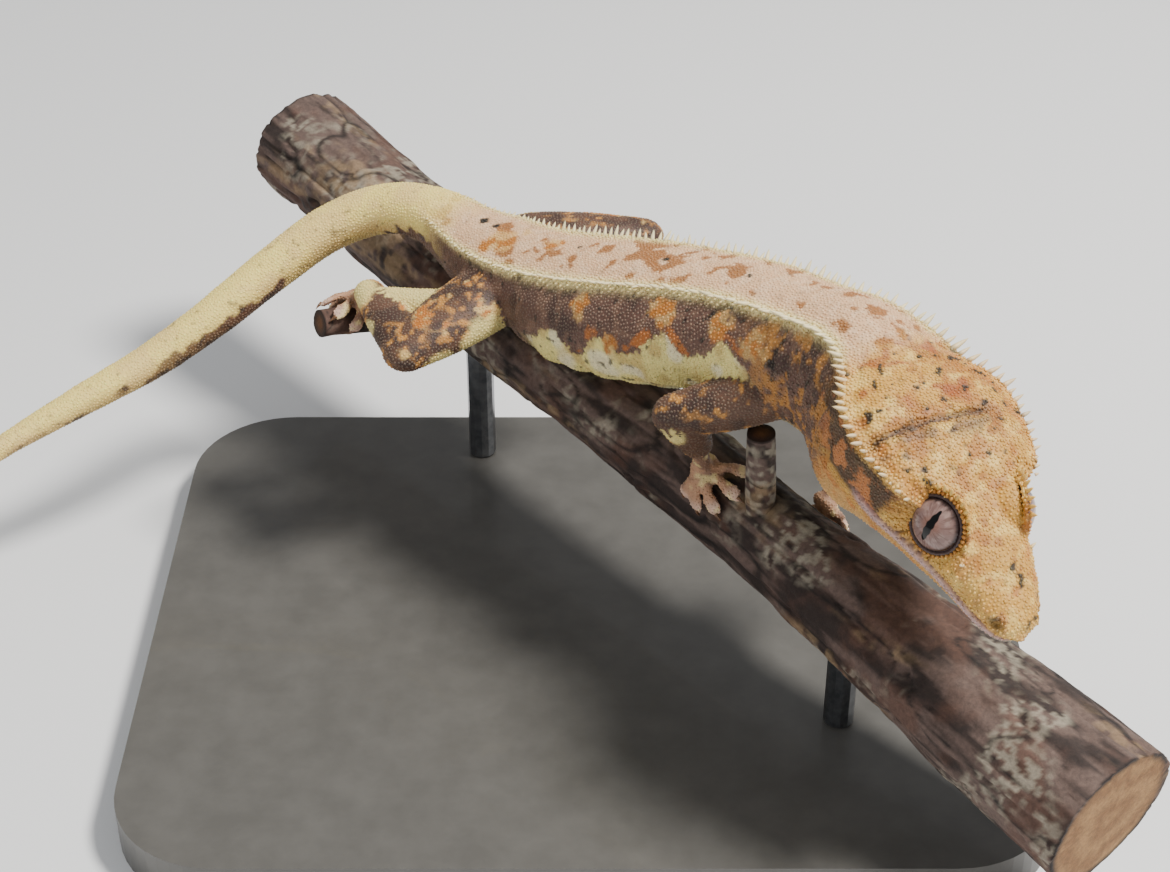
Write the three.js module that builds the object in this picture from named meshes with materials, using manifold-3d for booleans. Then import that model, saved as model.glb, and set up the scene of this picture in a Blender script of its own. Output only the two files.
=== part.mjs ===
// A life-size crested gecko on a cut length of branch, held up by a plain display stand.
// Sizes are in millimetres with +Z up. The origin is the middle of the underside of the stand's base.
// The viewer stands at -Y, so +X is the viewer's right. The gecko's right flank faces the viewer.
import * as THREE from "three";
import { mergeVertices } from "three/addons/utils/BufferGeometryUtils.js";
import Module from "manifold-3d";

const wasm = await Module();
wasm.setup();
const { Manifold, Mesh: SolidMesh } = wasm;

// Driving dimensions of the whole model.
const GAP = 0.3;
const HEAD_END = 33;
const NECK_END = 45;
const CHEST_END = 65;
const BELLY_END = 91;
const VENT = 113;
const TAIL_LENGTH = 96;
const TAIL_CUTS = [0.22, 0.46, 0.72];
const TAIL_TIP = VENT + TAIL_LENGTH;

// Colours and finishes of the materials.
const material = (color, roughness, metalness = 0) =>
  new THREE.MeshStandardMaterial({ color, roughness, metalness });
const SKIN_TAN = material(0xd9b07c, 0.62);
const SKIN_CREAM = material(0xd8cba0, 0.6);
const SKIN_BROWN = material(0x7d685b, 0.64);
const EYE = material(0x6f6259, 0.12);
const BARK = material(0x5b483f, 0.85);
const BASE_PAINT = material(0x2f2f31, 0.5);
const STEEL = material(0xb4b6b8, 0.3, 1);

const point = (x, y, z) => new THREE.Vector3(x, y, z);
const degrees = THREE.MathUtils.degToRad;
const mix = THREE.MathUtils.lerp;
const UP = point(0, 0, 1);

// A smooth size between hand-set ones: keys are [place, size], and no value overshoots its neighbours.
function sizeAlong(keys) {
  const count = keys.length;
  const step = keys.slice(1).map((key, i) => key[0] - keys[i][0]);
  const slope = step.map((width, i) => (keys[i + 1][1] - keys[i][1]) / width);
  const lean = keys.map((_, i) => {
    if (i === 0) return slope[0];
    if (i === count - 1) return slope[count - 2];
    if (slope[i - 1] * slope[i] <= 0) return 0;
    const before = 2 * step[i] + step[i - 1];
    const after = step[i] + 2 * step[i - 1];
    return (before + after) / (before / slope[i - 1] + after / slope[i]);
  });
  return (place) => {
    const x = THREE.MathUtils.clamp(place, keys[0][0], keys[count - 1][0]);
    let i = 0;
    while (i < count - 2 && x > keys[i + 1][0]) i += 1;
    const t = (x - keys[i][0]) / step[i];
    const rise = t * t * (3 - 2 * t);
    const pull = lean[i] * t * (1 - t) ** 2 - lean[i + 1] * t * t * (1 - t);
    return mix(keys[i][1], keys[i + 1][1], rise) + pull * step[i];
  };
}

// The spine's line, from the tip of the snout over the back to the tip of the tail.
const SPINE = new THREE.CatmullRomCurve3(
  [
    point(47.8, -50, 43.9),
    point(43.2, -40.2, 50.9),
    point(39.2, -30, 56.5),
    point(33.7, -17.1, 58.6),
    point(26.8, -7.8, 56),
    point(18, 0.9, 52.8),
    point(8.4, 9.3, 49.4),
    point(-2.4, 18.4, 46.9),
    point(-12.6, 28, 46.6),
    point(-21.2, 35.5, 48.9),
    point(-28.8, 39.8, 47.6),
    point(-37, 39.6, 44.3),
    point(-45, 35.9, 39.7),
    point(-53.4, 30.4, 34.9),
    point(-61.6, 25.7, 30.8),
    point(-71.4, 19.8, 27.6),
    point(-81, 13.4, 24.4),
    point(-89.4, 7.6, 20.6),
    point(-95.6, 3.2, 15.4),
  ],
  false,
  "catmullrom",
  0.5,
);
const SPINE_STEPS = 1200;
const SPINE_POINTS = SPINE.getPoints(SPINE_STEPS);
const SPINE_REACH = SPINE_POINTS.map(() => 0);
for (let i = 1; i <= SPINE_STEPS; i += 1)
  SPINE_REACH[i] =
    SPINE_REACH[i - 1] + SPINE_POINTS[i].distanceTo(SPINE_POINTS[i - 1]);

// How far the back leans towards the gecko's right, in degrees, by distance from the snout.
const LEAN = sizeAlong([
  [0, -7],
  [30, -5],
  [46, 0],
  [60, 1],
  [98, 14],
  [122, 18],
  [150, 0],
]);

function spinePoint(place) {
  const last = SPINE_REACH[SPINE_STEPS];
  if (place < 0)
    return SPINE_POINTS[0]
      .clone()
      .addScaledVector(
        SPINE_POINTS[0].clone().sub(SPINE_POINTS[5]).normalize(),
        -place,
      );
  const reach = Math.min(place, last - 1e-6);
  let low = 0;
  let high = SPINE_STEPS;
  while (high - low > 1) {
    const middle = (low + high) >> 1;
    if (SPINE_REACH[middle] <= reach) low = middle;
    else high = middle;
  }
  const share =
    (reach - SPINE_REACH[low]) / (SPINE_REACH[high] - SPINE_REACH[low]);
  return SPINE_POINTS[low].clone().lerp(SPINE_POINTS[high], share);
}

// The body's own directions at a distance from the snout: forward, to its right, and to its back.
function bodyFrame(place) {
  const reach = 1.5;
  const centre = spinePoint(place);
  const forward = spinePoint(place - reach)
    .sub(spinePoint(place + reach))
    .normalize();
  const right = forward.clone().cross(UP).normalize();
  const back = right.clone().cross(forward);
  const turn = new THREE.Quaternion().setFromAxisAngle(
    forward,
    degrees(LEAN(place)),
  );
  return {
    centre,
    forward,
    right: right.applyQuaternion(turn),
    back: back.applyQuaternion(turn),
  };
}

// The body's sizes by distance from the snout. Half width is at the widest line, which lies LEVEL above
// the spine's line. TOP and BOTTOM are measured from the spine's line. CREST is half the gap between
// the two rows of spines.
const HALF_WIDTH = sizeAlong([
  [0, 0.8],
  [0.7, 2.2],
  [2.2, 3.5],
  [5, 4.6],
  [9, 5.8],
  [13, 7.3],
  [17, 9],
  [21, 10.3],
  [25, 11.1],
  [29, 11.1],
  [34, 10.1],
  [40, 9.2],
  [47, 8.7],
  [55, 9],
  [64, 10],
  [76, 11],
  [86, 10.6],
  [96, 8.2],
  [104, 7],
  [112, 5.3],
  [120, 4],
  [135, 3.5],
  [155, 3.1],
  [175, 2.5],
  [192, 1.8],
  [201, 1.9],
  [206, 1.5],
  [TAIL_TIP, 0.5],
]);
const TOP = sizeAlong([
  [0, 0.6],
  [0.7, 1.5],
  [2.2, 2.2],
  [5, 2.9],
  [9, 3.8],
  [13, 4.7],
  [17, 5.4],
  [24, 5.9],
  [33, 5.9],
  [45, 6.8],
  [60, 8],
  [76, 8.4],
  [90, 7.5],
  [104, 6],
  [112, 4.7],
  [122, 3.6],
  [150, 3.1],
  [175, 2.4],
  [192, 1.7],
  [TAIL_TIP, 0.4],
]);
const BOTTOM = sizeAlong([
  [0, 0.6],
  [0.7, 1.7],
  [2.2, 2.7],
  [5, 3.8],
  [9, 5.4],
  [15, 7.7],
  [22, 10.2],
  [28, 12.4],
  [34, 14.2],
  [41, 14.6],
  [48, 11.6],
  [58, 8.2],
  [76, 8.3],
  [88, 8],
  [98, 6.1],
  [106, 5.1],
  [113, 4.4],
  [122, 3.7],
  [150, 3.1],
  [175, 2.3],
  [192, 1.3],
  [TAIL_TIP, 0.4],
]);
const LEVEL = sizeAlong([
  [0, 0],
  [6, 0],
  [14, 0.2],
  [22, -0.5],
  [28, -1.4],
  [35, -2.4],
  [44, -2.4],
  [54, -1.2],
  [64, -0.6],
  [90, -0.4],
  [112, 0],
  [TAIL_TIP, 0],
]);
const CREST = sizeAlong([
  [8, 4.6],
  [12, 6],
  [17, 8.2],
  [21, 9.7],
  [25, 10.5],
  [29, 9.9],
  [34, 7.2],
  [40, 5.7],
  [48, 5.1],
  [60, 5.4],
  [76, 5.6],
  [90, 5],
  [104, 4.4],
  [112, 3.5],
  [118, 2.6],
  [TAIL_TIP, 0.2],
]);
const RIDGE = sizeAlong([
  [8, 0],
  [13, 0.5],
  [24, 0.7],
  [34, 0.7],
  [50, 0.4],
  [100, 0.35],
  [112, 0.2],
  [120, 0],
]);
const TOP_SQUARENESS = sizeAlong([
  [0, 2.2],
  [12, 2.8],
  [22, 3.2],
  [27, 3.2],
  [34, 2.1],
  [44, 1.9],
  [60, 2.1],
  [TAIL_TIP, 2],
]);
const BOTTOM_SQUARENESS = sizeAlong([
  [0, 2.1],
  [14, 2.4],
  [24, 3.4],
  [34, 2.7],
  [50, 2.1],
  [TAIL_TIP, 2],
]);

// One point of the body's section: x to the right and z to the back, for an angle from the right side.
function sectionPoint(place, angle, grow = 0) {
  const width = HALF_WIDTH(place) + grow;
  const level = LEVEL(place);
  const upper = Math.sin(angle) >= 0;
  const height = grow + (upper ? TOP(place) - level : BOTTOM(place) + level);
  const squareness = upper ? TOP_SQUARENESS : BOTTOM_SQUARENESS;
  const power = 2 / squareness(place);
  const across = Math.abs(Math.cos(angle)) ** power * width;
  const along = Math.abs(Math.sin(angle)) ** power * height;
  return [
    Math.sign(Math.cos(angle)) * across,
    level + (upper ? along : -along),
  ];
}

// The section's angle at which the right row of spines stands.
function crestAngle(place) {
  const share = Math.min(CREST(place) / HALF_WIDTH(place), 0.97);
  return Math.acos(share ** (TOP_SQUARENESS(place) / 2));
}

// A point on the body's skin with the direction that faces out of it.
function onBody(place, angle, grow = 0) {
  const frame = bodyFrame(place);
  const [x, z] = sectionPoint(place, angle, grow);
  const step = 0.03;
  const [ax, az] = sectionPoint(place, angle - step, grow);
  const [bx, bz] = sectionPoint(place, angle + step, grow);
  const outX = bz - az;
  const outZ = ax - bx;
  return {
    ...frame,
    spot: frame.centre
      .clone()
      .addScaledVector(frame.right, x)
      .addScaledVector(frame.back, z),
    out: frame.right
      .clone()
      .multiplyScalar(outX)
      .addScaledVector(frame.back, outZ)
      .normalize(),
  };
}

// The ring of corners of one section, with a corner on each crest.
const FLANK_CORNERS = 3;
const BACK_CORNERS = 3;
const BELLY_CORNERS = 5;
function bodyRing(place, grow = 0) {
  const crest = crestAngle(place);
  const angles = [];
  for (let i = 0; i < FLANK_CORNERS; i += 1)
    angles.push((crest * i) / FLANK_CORNERS);
  for (let i = 0; i <= BACK_CORNERS; i += 1)
    angles.push(mix(crest, Math.PI / 2, i / BACK_CORNERS));
  const right = angles.slice(0, -1).map((angle) => [angle, 1]);
  const left = angles.map((angle) => [Math.PI - angle, -1]).reverse();
  const belly = [];
  for (let i = 1; i < 2 * BELLY_CORNERS; i += 1)
    belly.push([Math.PI + (Math.PI * i) / (2 * BELLY_CORNERS), 0]);
  return [...right, ...left, ...belly].map(([angle, side]) => {
    const onCrest =
      side !== 0 &&
      Math.abs((side > 0 ? angle : Math.PI - angle) - crest) < 1e-6;
    const { spot, out } = onBody(place, angle, grow);
    return onCrest ? spot.addScaledVector(out, RIDGE(place)) : spot;
  });
}

// A closed geometry through rings of equal count, with a fan over each end.
function loft(rings) {
  const count = rings[0].length;
  const corners = rings.flat();
  const faces = [];
  for (let r = 0; r + 1 < rings.length; r += 1)
    for (let i = 0; i < count; i += 1) {
      const a = r * count + i;
      const b = r * count + ((i + 1) % count);
      faces.push(a, b, a + count, b, b + count, a + count);
    }
  [0, rings.length - 1].forEach((r) => {
    const middle = rings[r]
      .reduce((sum, corner) => sum.add(corner), point(0, 0, 0))
      .divideScalar(count);
    const hub = corners.push(middle) - 1;
    for (let i = 0; i < count; i += 1) {
      const a = r * count + i;
      const b = r * count + ((i + 1) % count);
      faces.push(...(r === 0 ? [hub, b, a] : [hub, a, b]));
    }
  });
  const geometry = new THREE.BufferGeometry().setFromPoints(corners);
  geometry.setIndex(faces);
  return geometry;
}

// A manifold solid of a closed geometry, turned to face outwards.
function solid(geometry) {
  const plain = geometry.clone();
  plain.deleteAttribute("normal");
  plain.deleteAttribute("uv");
  const merged = mergeVertices(plain, 1e-4);
  const vertProperties = new Float32Array(merged.attributes.position.array);
  const build = (triVerts) =>
    new Manifold(new SolidMesh({ numProp: 3, vertProperties, triVerts }));
  const triVerts = new Uint32Array(merged.index.array);
  const made = build(triVerts);
  return made.volume() > 0 ? made : build(triVerts.reverse());
}

// The largest closed surface of a solid, as a node of the model.
function node(name, made, finish) {
  const kept = made
    .decompose()
    .reduce((best, piece) => (piece.volume() > best.volume() ? piece : best));
  const { vertProperties, triVerts } = kept.getMesh();
  const geometry = new THREE.BufferGeometry();
  geometry.setAttribute(
    "position",
    new THREE.BufferAttribute(vertProperties, 3),
  );
  geometry.setIndex(new THREE.BufferAttribute(triVerts, 1));
  geometry.computeVertexNormals();
  const mesh = new THREE.Mesh(geometry, finish);
  mesh.name = name;
  return mesh;
}

const join = (pieces) => Manifold.union(pieces);

// The places of the rings between two distances, about one pitch apart.
function places(from, to, pitch) {
  const count = Math.max(2, Math.round((to - from) / pitch));
  return Array.from({ length: count + 1 }, (_, i) => mix(from, to, i / count));
}

function bodyLength(from, to, pitch, grow = 0) {
  return solid(
    loft(places(from, to, pitch).map((place) => bodyRing(place, grow))),
  );
}

// Repeatable random numbers, so that every build is alike.
let seed = 20;
function random() {
  seed = (seed * 1664525 + 1013904223) % 4294967296;
  return seed / 4294967296;
}

// A cone with its root sunk below the skin.
function spine(root, direction, length, radius) {
  const sides = 5;
  const sunk = 0.6;
  const cone = new THREE.ConeGeometry(radius, length + sunk, sides);
  cone.translate(0, (length - sunk) / 2, 0);
  cone.applyQuaternion(
    new THREE.Quaternion().setFromUnitVectors(point(0, 1, 0), direction),
  );
  cone.translate(root.x, root.y, root.z);
  return solid(cone);
}

// The two rows of crest spines that run from the brows over the neck to the root of the tail.
const SPINE_LENGTH = sizeAlong([
  [12, 0.9],
  [20, 1.2],
  [27, 2],
  [35, 2.3],
  [44, 1.8],
  [60, 1.5],
  [80, 1.4],
  [96, 1],
  [112, 0.6],
]);
const CREST_START = 12;
const CREST_STOP = 112;
const SPINE_PITCH = 2.1;
const SPINE_RADIUS = 0.62;
const SPINE_SWEEP = 0.15;
function crestSpines(from, to) {
  const clear = SPINE_RADIUS + GAP;
  const start = Math.max(from + clear, CREST_START);
  const stop = Math.min(to - clear - 0.5, CREST_STOP);
  if (stop <= start) return [];
  return places(start, stop, SPINE_PITCH).flatMap((place) =>
    [1, -1].map((side) => {
      const angle = crestAngle(place);
      const { spot, out, forward } = onBody(
        place,
        side > 0 ? angle : Math.PI - angle,
      );
      const direction = out
        .clone()
        .addScaledVector(forward, -SPINE_SWEEP)
        .normalize();
      const length = SPINE_LENGTH(place) * mix(0.85, 1.15, random());
      return spine(
        spot.addScaledVector(out, RIDGE(place) * 0.8),
        direction,
        length,
        SPINE_RADIUS,
      );
    }),
  );
}

function ellipsoid(centre, radii, xWay, yWay, sides = 12, rows = 8) {
  const ball = new THREE.SphereGeometry(1, sides, rows);
  const zWay = xWay.clone().cross(yWay).normalize();
  const square = zWay.clone().cross(xWay).normalize();
  ball.scale(...radii);
  ball.applyMatrix4(
    new THREE.Matrix4().makeBasis(xWay.clone().normalize(), square, zWay),
  );
  ball.translate(centre.x, centre.y, centre.z);
  return solid(ball);
}

// The eyes, which have no lids: each ball sits in a raised rim of skin.
const EYE_AT = 14.6;
const EYE_RADIUS = 3.45;
const EYE_OUT = 4.5;
const EYE_UP = 1.5;
function eyeFrame(side) {
  const { centre, right, back, forward } = bodyFrame(EYE_AT);
  const gaze = right
    .clone()
    .multiplyScalar(side)
    .addScaledVector(back, 0.5)
    .addScaledVector(forward, 0.2)
    .normalize();
  const middle = centre
    .clone()
    .addScaledVector(right, side * EYE_OUT)
    .addScaledVector(back, EYE_UP);
  return { middle, gaze, back, forward };
}
function eyeball(side, grow = 0) {
  const { middle, gaze, back } = eyeFrame(side);
  const radius = EYE_RADIUS + grow;
  return ellipsoid(middle, [radius, radius, radius], gaze, back, 16, 12);
}
const RIM_RADIUS = 3.2;
const RIM_THICKNESS = 0.5;
const RIM_OUT = 1.7;
function eyeRim(side) {
  const { middle, gaze } = eyeFrame(side);
  const ring = new THREE.TorusGeometry(RIM_RADIUS, RIM_THICKNESS, 6, 20);
  ring.applyQuaternion(
    new THREE.Quaternion().setFromUnitVectors(point(0, 0, 1), gaze),
  );
  const centre = middle.clone().addScaledVector(gaze, RIM_OUT);
  ring.translate(centre.x, centre.y, centre.z);
  return solid(ring);
}

// The short spines over each eye.
const LASHES = 5;
const LASH_LENGTH = 0.9;
function lashes(side) {
  const { middle, gaze, back, forward } = eyeFrame(side);
  return Array.from({ length: LASHES }, (_, i) => {
    const turn = degrees(mix(-50, 62, i / (LASHES - 1)));
    const away = back
      .clone()
      .multiplyScalar(Math.cos(turn))
      .addScaledVector(forward, -Math.sin(turn))
      .normalize();
    const root = middle
      .clone()
      .addScaledVector(gaze, RIM_OUT)
      .addScaledVector(away, RIM_RADIUS + RIM_THICKNESS * 0.5);
    const direction = away.clone().addScaledVector(gaze, 0.5).normalize();
    return spine(root, direction, LASH_LENGTH, 0.42);
  });
}

// The line of the mouth, as a height over the spine's line, and the block below it that is the lower jaw.
const MOUTH = sizeAlong([
  [0, -0.4],
  [3, -0.5],
  [9, -0.9],
  [15, -1.7],
  [19, -2.4],
  [24, -2.2],
]);
const JAW_END = 21.5;
function jawBlock(shift, end) {
  const reach = 18;
  return solid(
    loft(
      places(-3, end, 2.2).map((place) => {
        const { centre, right, back } = bodyFrame(place);
        const corner = (x, z) =>
          centre.clone().addScaledVector(right, x).addScaledVector(back, z);
        const top = MOUTH(place) + shift;
        return [
          corner(reach, top),
          corner(-reach, top),
          corner(-reach, -reach),
          corner(reach, -reach),
        ];
      }),
    ),
  );
}

// The ear's upright oval cup behind the corner of the mouth, and the nostril near the tip of the snout.
const EAR_AT = 28.5;
const NOSTRIL_AT = 1.9;
function pits(side) {
  const turned = (angle) => (side > 0 ? angle : Math.PI - angle);
  const ear = onBody(EAR_AT, turned(degrees(-4)));
  const nostril = onBody(NOSTRIL_AT, turned(degrees(24)));
  return [
    ellipsoid(ear.spot, [0.9, 1.7, 0.9], ear.forward, ear.back, 10, 6),
    ellipsoid(
      nostril.spot,
      [0.5, 0.4, 0.5],
      nostril.forward,
      nostril.back,
      8,
      6,
    ),
  ];
}

function headAndJaw() {
  const places2 = [0, 0.35, 0.9, 2, 3.6, 5.5, 7.8, 10.2];
  const skull = solid(
    loft(
      [...places2, ...places(12.4, HEAD_END - GAP, 2.1)].map((place) =>
        bodyRing(place),
      ),
    ),
  );
  const raised = join([skull, eyeRim(1), eyeRim(-1)]);
  const hollow = join([
    eyeball(1, GAP),
    eyeball(-1, GAP),
    ...pits(1),
    ...pits(-1),
  ]);
  const spined = join([
    raised,
    ...crestSpines(18.5, HEAD_END - GAP),
    ...lashes(1),
    ...lashes(-1),
  ]).subtract(hollow);
  return [
    node(
      "head",
      spined.subtract(jawBlock(GAP / 2, JAW_END + GAP)),
      SKIN_TAN,
    ),
    node(
      "lower_jaw",
      skull.subtract(hollow).intersect(jawBlock(-GAP / 2, JAW_END)),
      SKIN_BROWN,
    ),
    node("eye_right", eyeball(1), EYE),
    node("eye_left", eyeball(-1), EYE),
  ];
}

function trunk() {
  const part = (name, from, to, pitch, finish) =>
    node(
      name,
      join([
        bodyLength(from, to - GAP, pitch),
        ...crestSpines(from, to - GAP),
      ]),
      finish,
    );
  const cuts = [0, ...TAIL_CUTS, 1].map((share) => VENT + TAIL_LENGTH * share);
  return [
    part("neck", HEAD_END, NECK_END, 2.4, SKIN_TAN),
    part("chest", NECK_END, CHEST_END, 3.3, SKIN_BROWN),
    part("belly", CHEST_END, BELLY_END, 3.7, SKIN_BROWN),
    part("pelvis", BELLY_END, VENT, 3.6, SKIN_BROWN),
    ...cuts
      .slice(1)
      .map((end, i) =>
        part(`tail_${i + 1}`, cuts[i], end, 4.2, SKIN_CREAM),
      ),
  ];
}

// The branch, and the twig stub that grows from it, each a round stick with directions along it,
// towards the viewer's side and up.
function stick(from, to, radius) {
  const along = to.clone().sub(from).normalize();
  const near = along.clone().cross(UP).normalize();
  const over = near.clone().cross(along);
  const length = from.distanceTo(to);
  const surface = (reach, angle, lift) =>
    from
      .clone()
      .addScaledVector(along, reach)
      .addScaledVector(near, Math.cos(angle) * (radius(reach, angle) + lift))
      .addScaledVector(over, Math.sin(angle) * (radius(reach, angle) + lift));
  return { from, to, along, near, over, length, radius, surface };
}
function stickSolid(shape, sides, pitch, grow = 0) {
  const rings = places(0, shape.length, pitch).map((reach) =>
    Array.from({ length: sides }, (_, i) =>
      shape.surface(reach, (2 * Math.PI * i) / sides, grow),
    ),
  );
  return solid(loft(rings));
}
const BRANCH_MIDDLE = point(8.6, 8.7, 30.5);
const BRANCH_WAY = point(0.625, -0.776, -0.115).normalize();
const BRANCH_FAR = 84;
const BRANCH_NEAR = 82;
const BRANCH_THICKNESS = sizeAlong([
  [0, 9.2],
  [40, 8],
  [84, 6.9],
  [105, 6.6],
  [130, 8],
  [150, 9.4],
  [166, 9.8],
]);
const BRANCH = stick(
  BRANCH_MIDDLE.clone().addScaledVector(BRANCH_WAY, -BRANCH_FAR),
  BRANCH_MIDDLE.clone().addScaledVector(BRANCH_WAY, BRANCH_NEAR),
  (reach, angle) =>
    BRANCH_THICKNESS(reach) +
    0.28 * Math.sin(2 * angle + reach * 0.045) +
    0.22 * Math.sin(3 * angle - reach * 0.09 + 1),
);
const STUB = stick(
  point(22.2, -11.8, 33),
  point(21.7, -12.8, 45.4),
  (reach) => 2 - 0.012 * reach,
);
const SNAG = stick(
  point(-17, 34, 35),
  point(-36.6, 22.2, 39.4),
  (reach) => 2.4 - 0.02 * reach,
);

function perch() {
  return join([
    stickSolid(BRANCH, 18, 8.3),
    stickSolid(STUB, 9, 4),
    stickSolid(SNAG, 9, 5),
  ]);
}

// A limb bone with its flesh: a rounded bar from one joint to the next. FLAT is how much thinner it is
// across the plane that the limb bends in.
function limb(from, to, start, end, bulge, flat, plane, grow = 0) {
  const sides = 10;
  const along = to.clone().sub(from);
  const length = along.length();
  along.normalize();
  const thin = plane
    .clone()
    .addScaledVector(along, -plane.dot(along))
    .normalize();
  const wide = along.clone().cross(thin);
  const round = [20, 50];
  const stations = [
    ...round.map((turn) => [
      -start * Math.cos(degrees(turn)),
      start * Math.sin(degrees(turn)),
    ]),
    ...[0, 0.25, 0.5, 0.75, 1].map((share) => [
      share * length,
      mix(start, end, share) + bulge * Math.sin(Math.PI * share),
    ]),
    ...round
      .toReversed()
      .map((turn) => [
        length + end * Math.cos(degrees(turn)),
        end * Math.sin(degrees(turn)),
      ]),
  ];
  return solid(
    loft(
      stations.map(([reach, radius]) =>
        Array.from({ length: sides }, (_, i) => {
          const angle = (2 * Math.PI * i) / sides;
          return from
            .clone()
            .addScaledVector(along, reach)
            .addScaledVector(wide, Math.cos(angle) * (radius + grow))
            .addScaledVector(thin, Math.sin(angle) * (radius * flat + grow));
        }),
      ),
    ),
  );
}

// A foot that holds a stick: a palm and five toes that fan out over its surface, each with a pad and a claw.
const TOE_WIDTH = sizeAlong([
  [0, 0.85],
  [0.35, 0.7],
  [0.62, 1.1],
  [0.85, 1.15],
  [1, 0.6],
]);
const TOE_DEPTH = sizeAlong([
  [0, 0.8],
  [0.35, 0.62],
  [0.62, 0.5],
  [0.85, 0.45],
  [1, 0.32],
]);
function toe(shape, reach, angle, way, length) {
  const radius = shape.radius(reach, angle);
  const along = Math.cos(way);
  const round = Math.sin(way) / radius;
  const middle = (share) => {
    const far = 1.6 + share * length;
    const arch = 0.9 * Math.sin(Math.PI * share) * (1 - share);
    return shape.surface(
      reach + along * far,
      angle + round * far,
      GAP + TOE_DEPTH(share) + arch,
    );
  };
  const rings = places(0, 1, 0.25).map((share) => {
    const centre = middle(share);
    const forward = middle(share + 0.05)
      .sub(middle(share - 0.05))
      .normalize();
    const far = 1.6 + share * length;
    const foot = shape.surface(reach + along * far, angle + round * far, 0);
    const out = centre.clone().sub(foot).normalize();
    const across = forward.clone().cross(out).normalize();
    return Array.from({ length: 6 }, (_, i) => {
      const turn = (2 * Math.PI * i) / 6;
      return centre
        .clone()
        .addScaledVector(across, Math.cos(turn) * TOE_WIDTH(share))
        .addScaledVector(out, Math.sin(turn) * TOE_DEPTH(share));
    });
  });
  const tip = middle(1);
  const away = tip.clone().sub(middle(0.9)).normalize();
  return [solid(loft(rings)), spine(tip, away, 0.9, 0.3)];
}
function foot(shape, hold, joint, grow = 0) {
  const { reach, angle, heading, splay, toes, palm } = hold;
  const centre = shape.surface(reach, angle, GAP + palm[2] * 0.9);
  const out = centre
    .clone()
    .sub(shape.surface(reach, angle, 0))
    .normalize();
  const ahead = shape
    .surface(
      reach + Math.cos(heading),
      angle + Math.sin(heading) / shape.radius(reach, angle),
      0,
    )
    .sub(shape.surface(reach, angle, 0));
  const side = out.clone().cross(ahead).normalize();
  const pad = ellipsoid(centre, palm, ahead, side, 12, 8);
  const wrist = limb(
    joint,
    centre,
    palm[1] * 0.62,
    palm[1] * 0.7,
    0,
    0.8,
    out,
    grow,
  );
  const fan = toes.flatMap((length, i) => {
    const way = heading + mix(-splay, splay, i / (toes.length - 1));
    return toe(shape, reach, angle, way, length);
  });
  return join([pad, wrist, ...fan]);
}

// The joints of each limb, and where its foot holds.
const RIGHT_ARM = {
  shoulder: point(24.2, -12.6, 51.2),
  elbow: point(11.4, -10.2, 46.4),
  wrist: point(14, -8.6, 41),
  stick: BRANCH,
  hold: {
    reach: 99.5,
    angle: degrees(58),
    heading: degrees(-35),
    splay: degrees(68),
    toes: [2.8, 3.6, 4.4, 4.8, 4],
    palm: [2.4, 2.2, 1.1],
  },
};
const LEFT_ARM = {
  shoulder: point(33, -7.6, 52.4),
  elbow: point(40.6, -4, 46),
  wrist: point(35, -5.6, 38.6),
  stick: BRANCH,
  hold: {
    reach: 111,
    angle: degrees(154),
    heading: degrees(70),
    splay: degrees(64),
    toes: [2.8, 3.6, 4.4, 4.8, 4],
    palm: [2.4, 2.2, 1.1],
  },
};
const RIGHT_LEG = {
  hip: point(-12.4, 21.2, 45),
  knee: point(-23.6, 11.6, 42),
  ankle: point(-29.6, 23.4, 43.6),
  fold: [point(-20, 19.4, 44.4), point(-27.2, 21.7, 44.2)],
  stick: SNAG,
  hold: {
    reach: 17,
    angle: degrees(76),
    heading: degrees(-10),
    splay: degrees(66),
    toes: [2.8, 3.4, 4, 4, 3.2],
    palm: [2.4, 2.1, 1.1],
  },
};
const LEFT_LEG = {
  hip: point(-7.6, 34.6, 45.4),
  knee: point(7.6, 35.6, 45.6),
  ankle: point(-2.6, 43.6, 42.6),
  stick: BRANCH,
  hold: {
    reach: 48,
    angle: degrees(126),
    heading: degrees(200),
    splay: degrees(62),
    toes: [3.4, 4.2, 4.8, 5, 4],
    palm: [2.6, 2.2, 1.1],
  },
};

const ARM_SIZES = { root: 3.4, middle: 3.2, end: 2.3, bulge: 0.5, flat: 0.85 };
const LEG_SIZES = { root: 5.4, middle: 3.6, end: 2.3, bulge: 0.5, flat: 0.75 };
function limbNodes(names, joints, sizes, bodyGrown, perchGrown) {
  const [root, bend, end] = joints.points;
  const plane = bend.clone().sub(root).cross(end.clone().sub(bend)).normalize();
  const bone = (grow) =>
    limb(
      root,
      bend,
      sizes.root,
      sizes.middle,
      sizes.bulge,
      sizes.flat,
      plane,
      grow,
    );
  const fold = (grow) =>
    joints.fold
      ? [limb(...joints.fold, 2.4, 1.6, 0, 0.7, plane, grow)]
      : [];
  const upper = (grow) => join([bone(grow), ...fold(grow)]);
  const lower = (grow) =>
    limb(
      bend,
      end,
      sizes.middle * 0.92,
      sizes.end,
      sizes.bulge * 0.5,
      sizes.flat,
      plane,
      grow,
    );
  const around = bodyGrown.add(perchGrown);
  return [
    node(names[0], upper(0).subtract(around), SKIN_BROWN),
    node(
      names[1],
      lower(0).subtract(around.add(upper(GAP))),
      SKIN_BROWN,
    ),
    node(
      names[2],
      foot(joints.stick, joints.hold, end).subtract(
        join([around, upper(GAP), lower(GAP)]),
      ),
      SKIN_CREAM,
    ),
  ];
}

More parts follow.
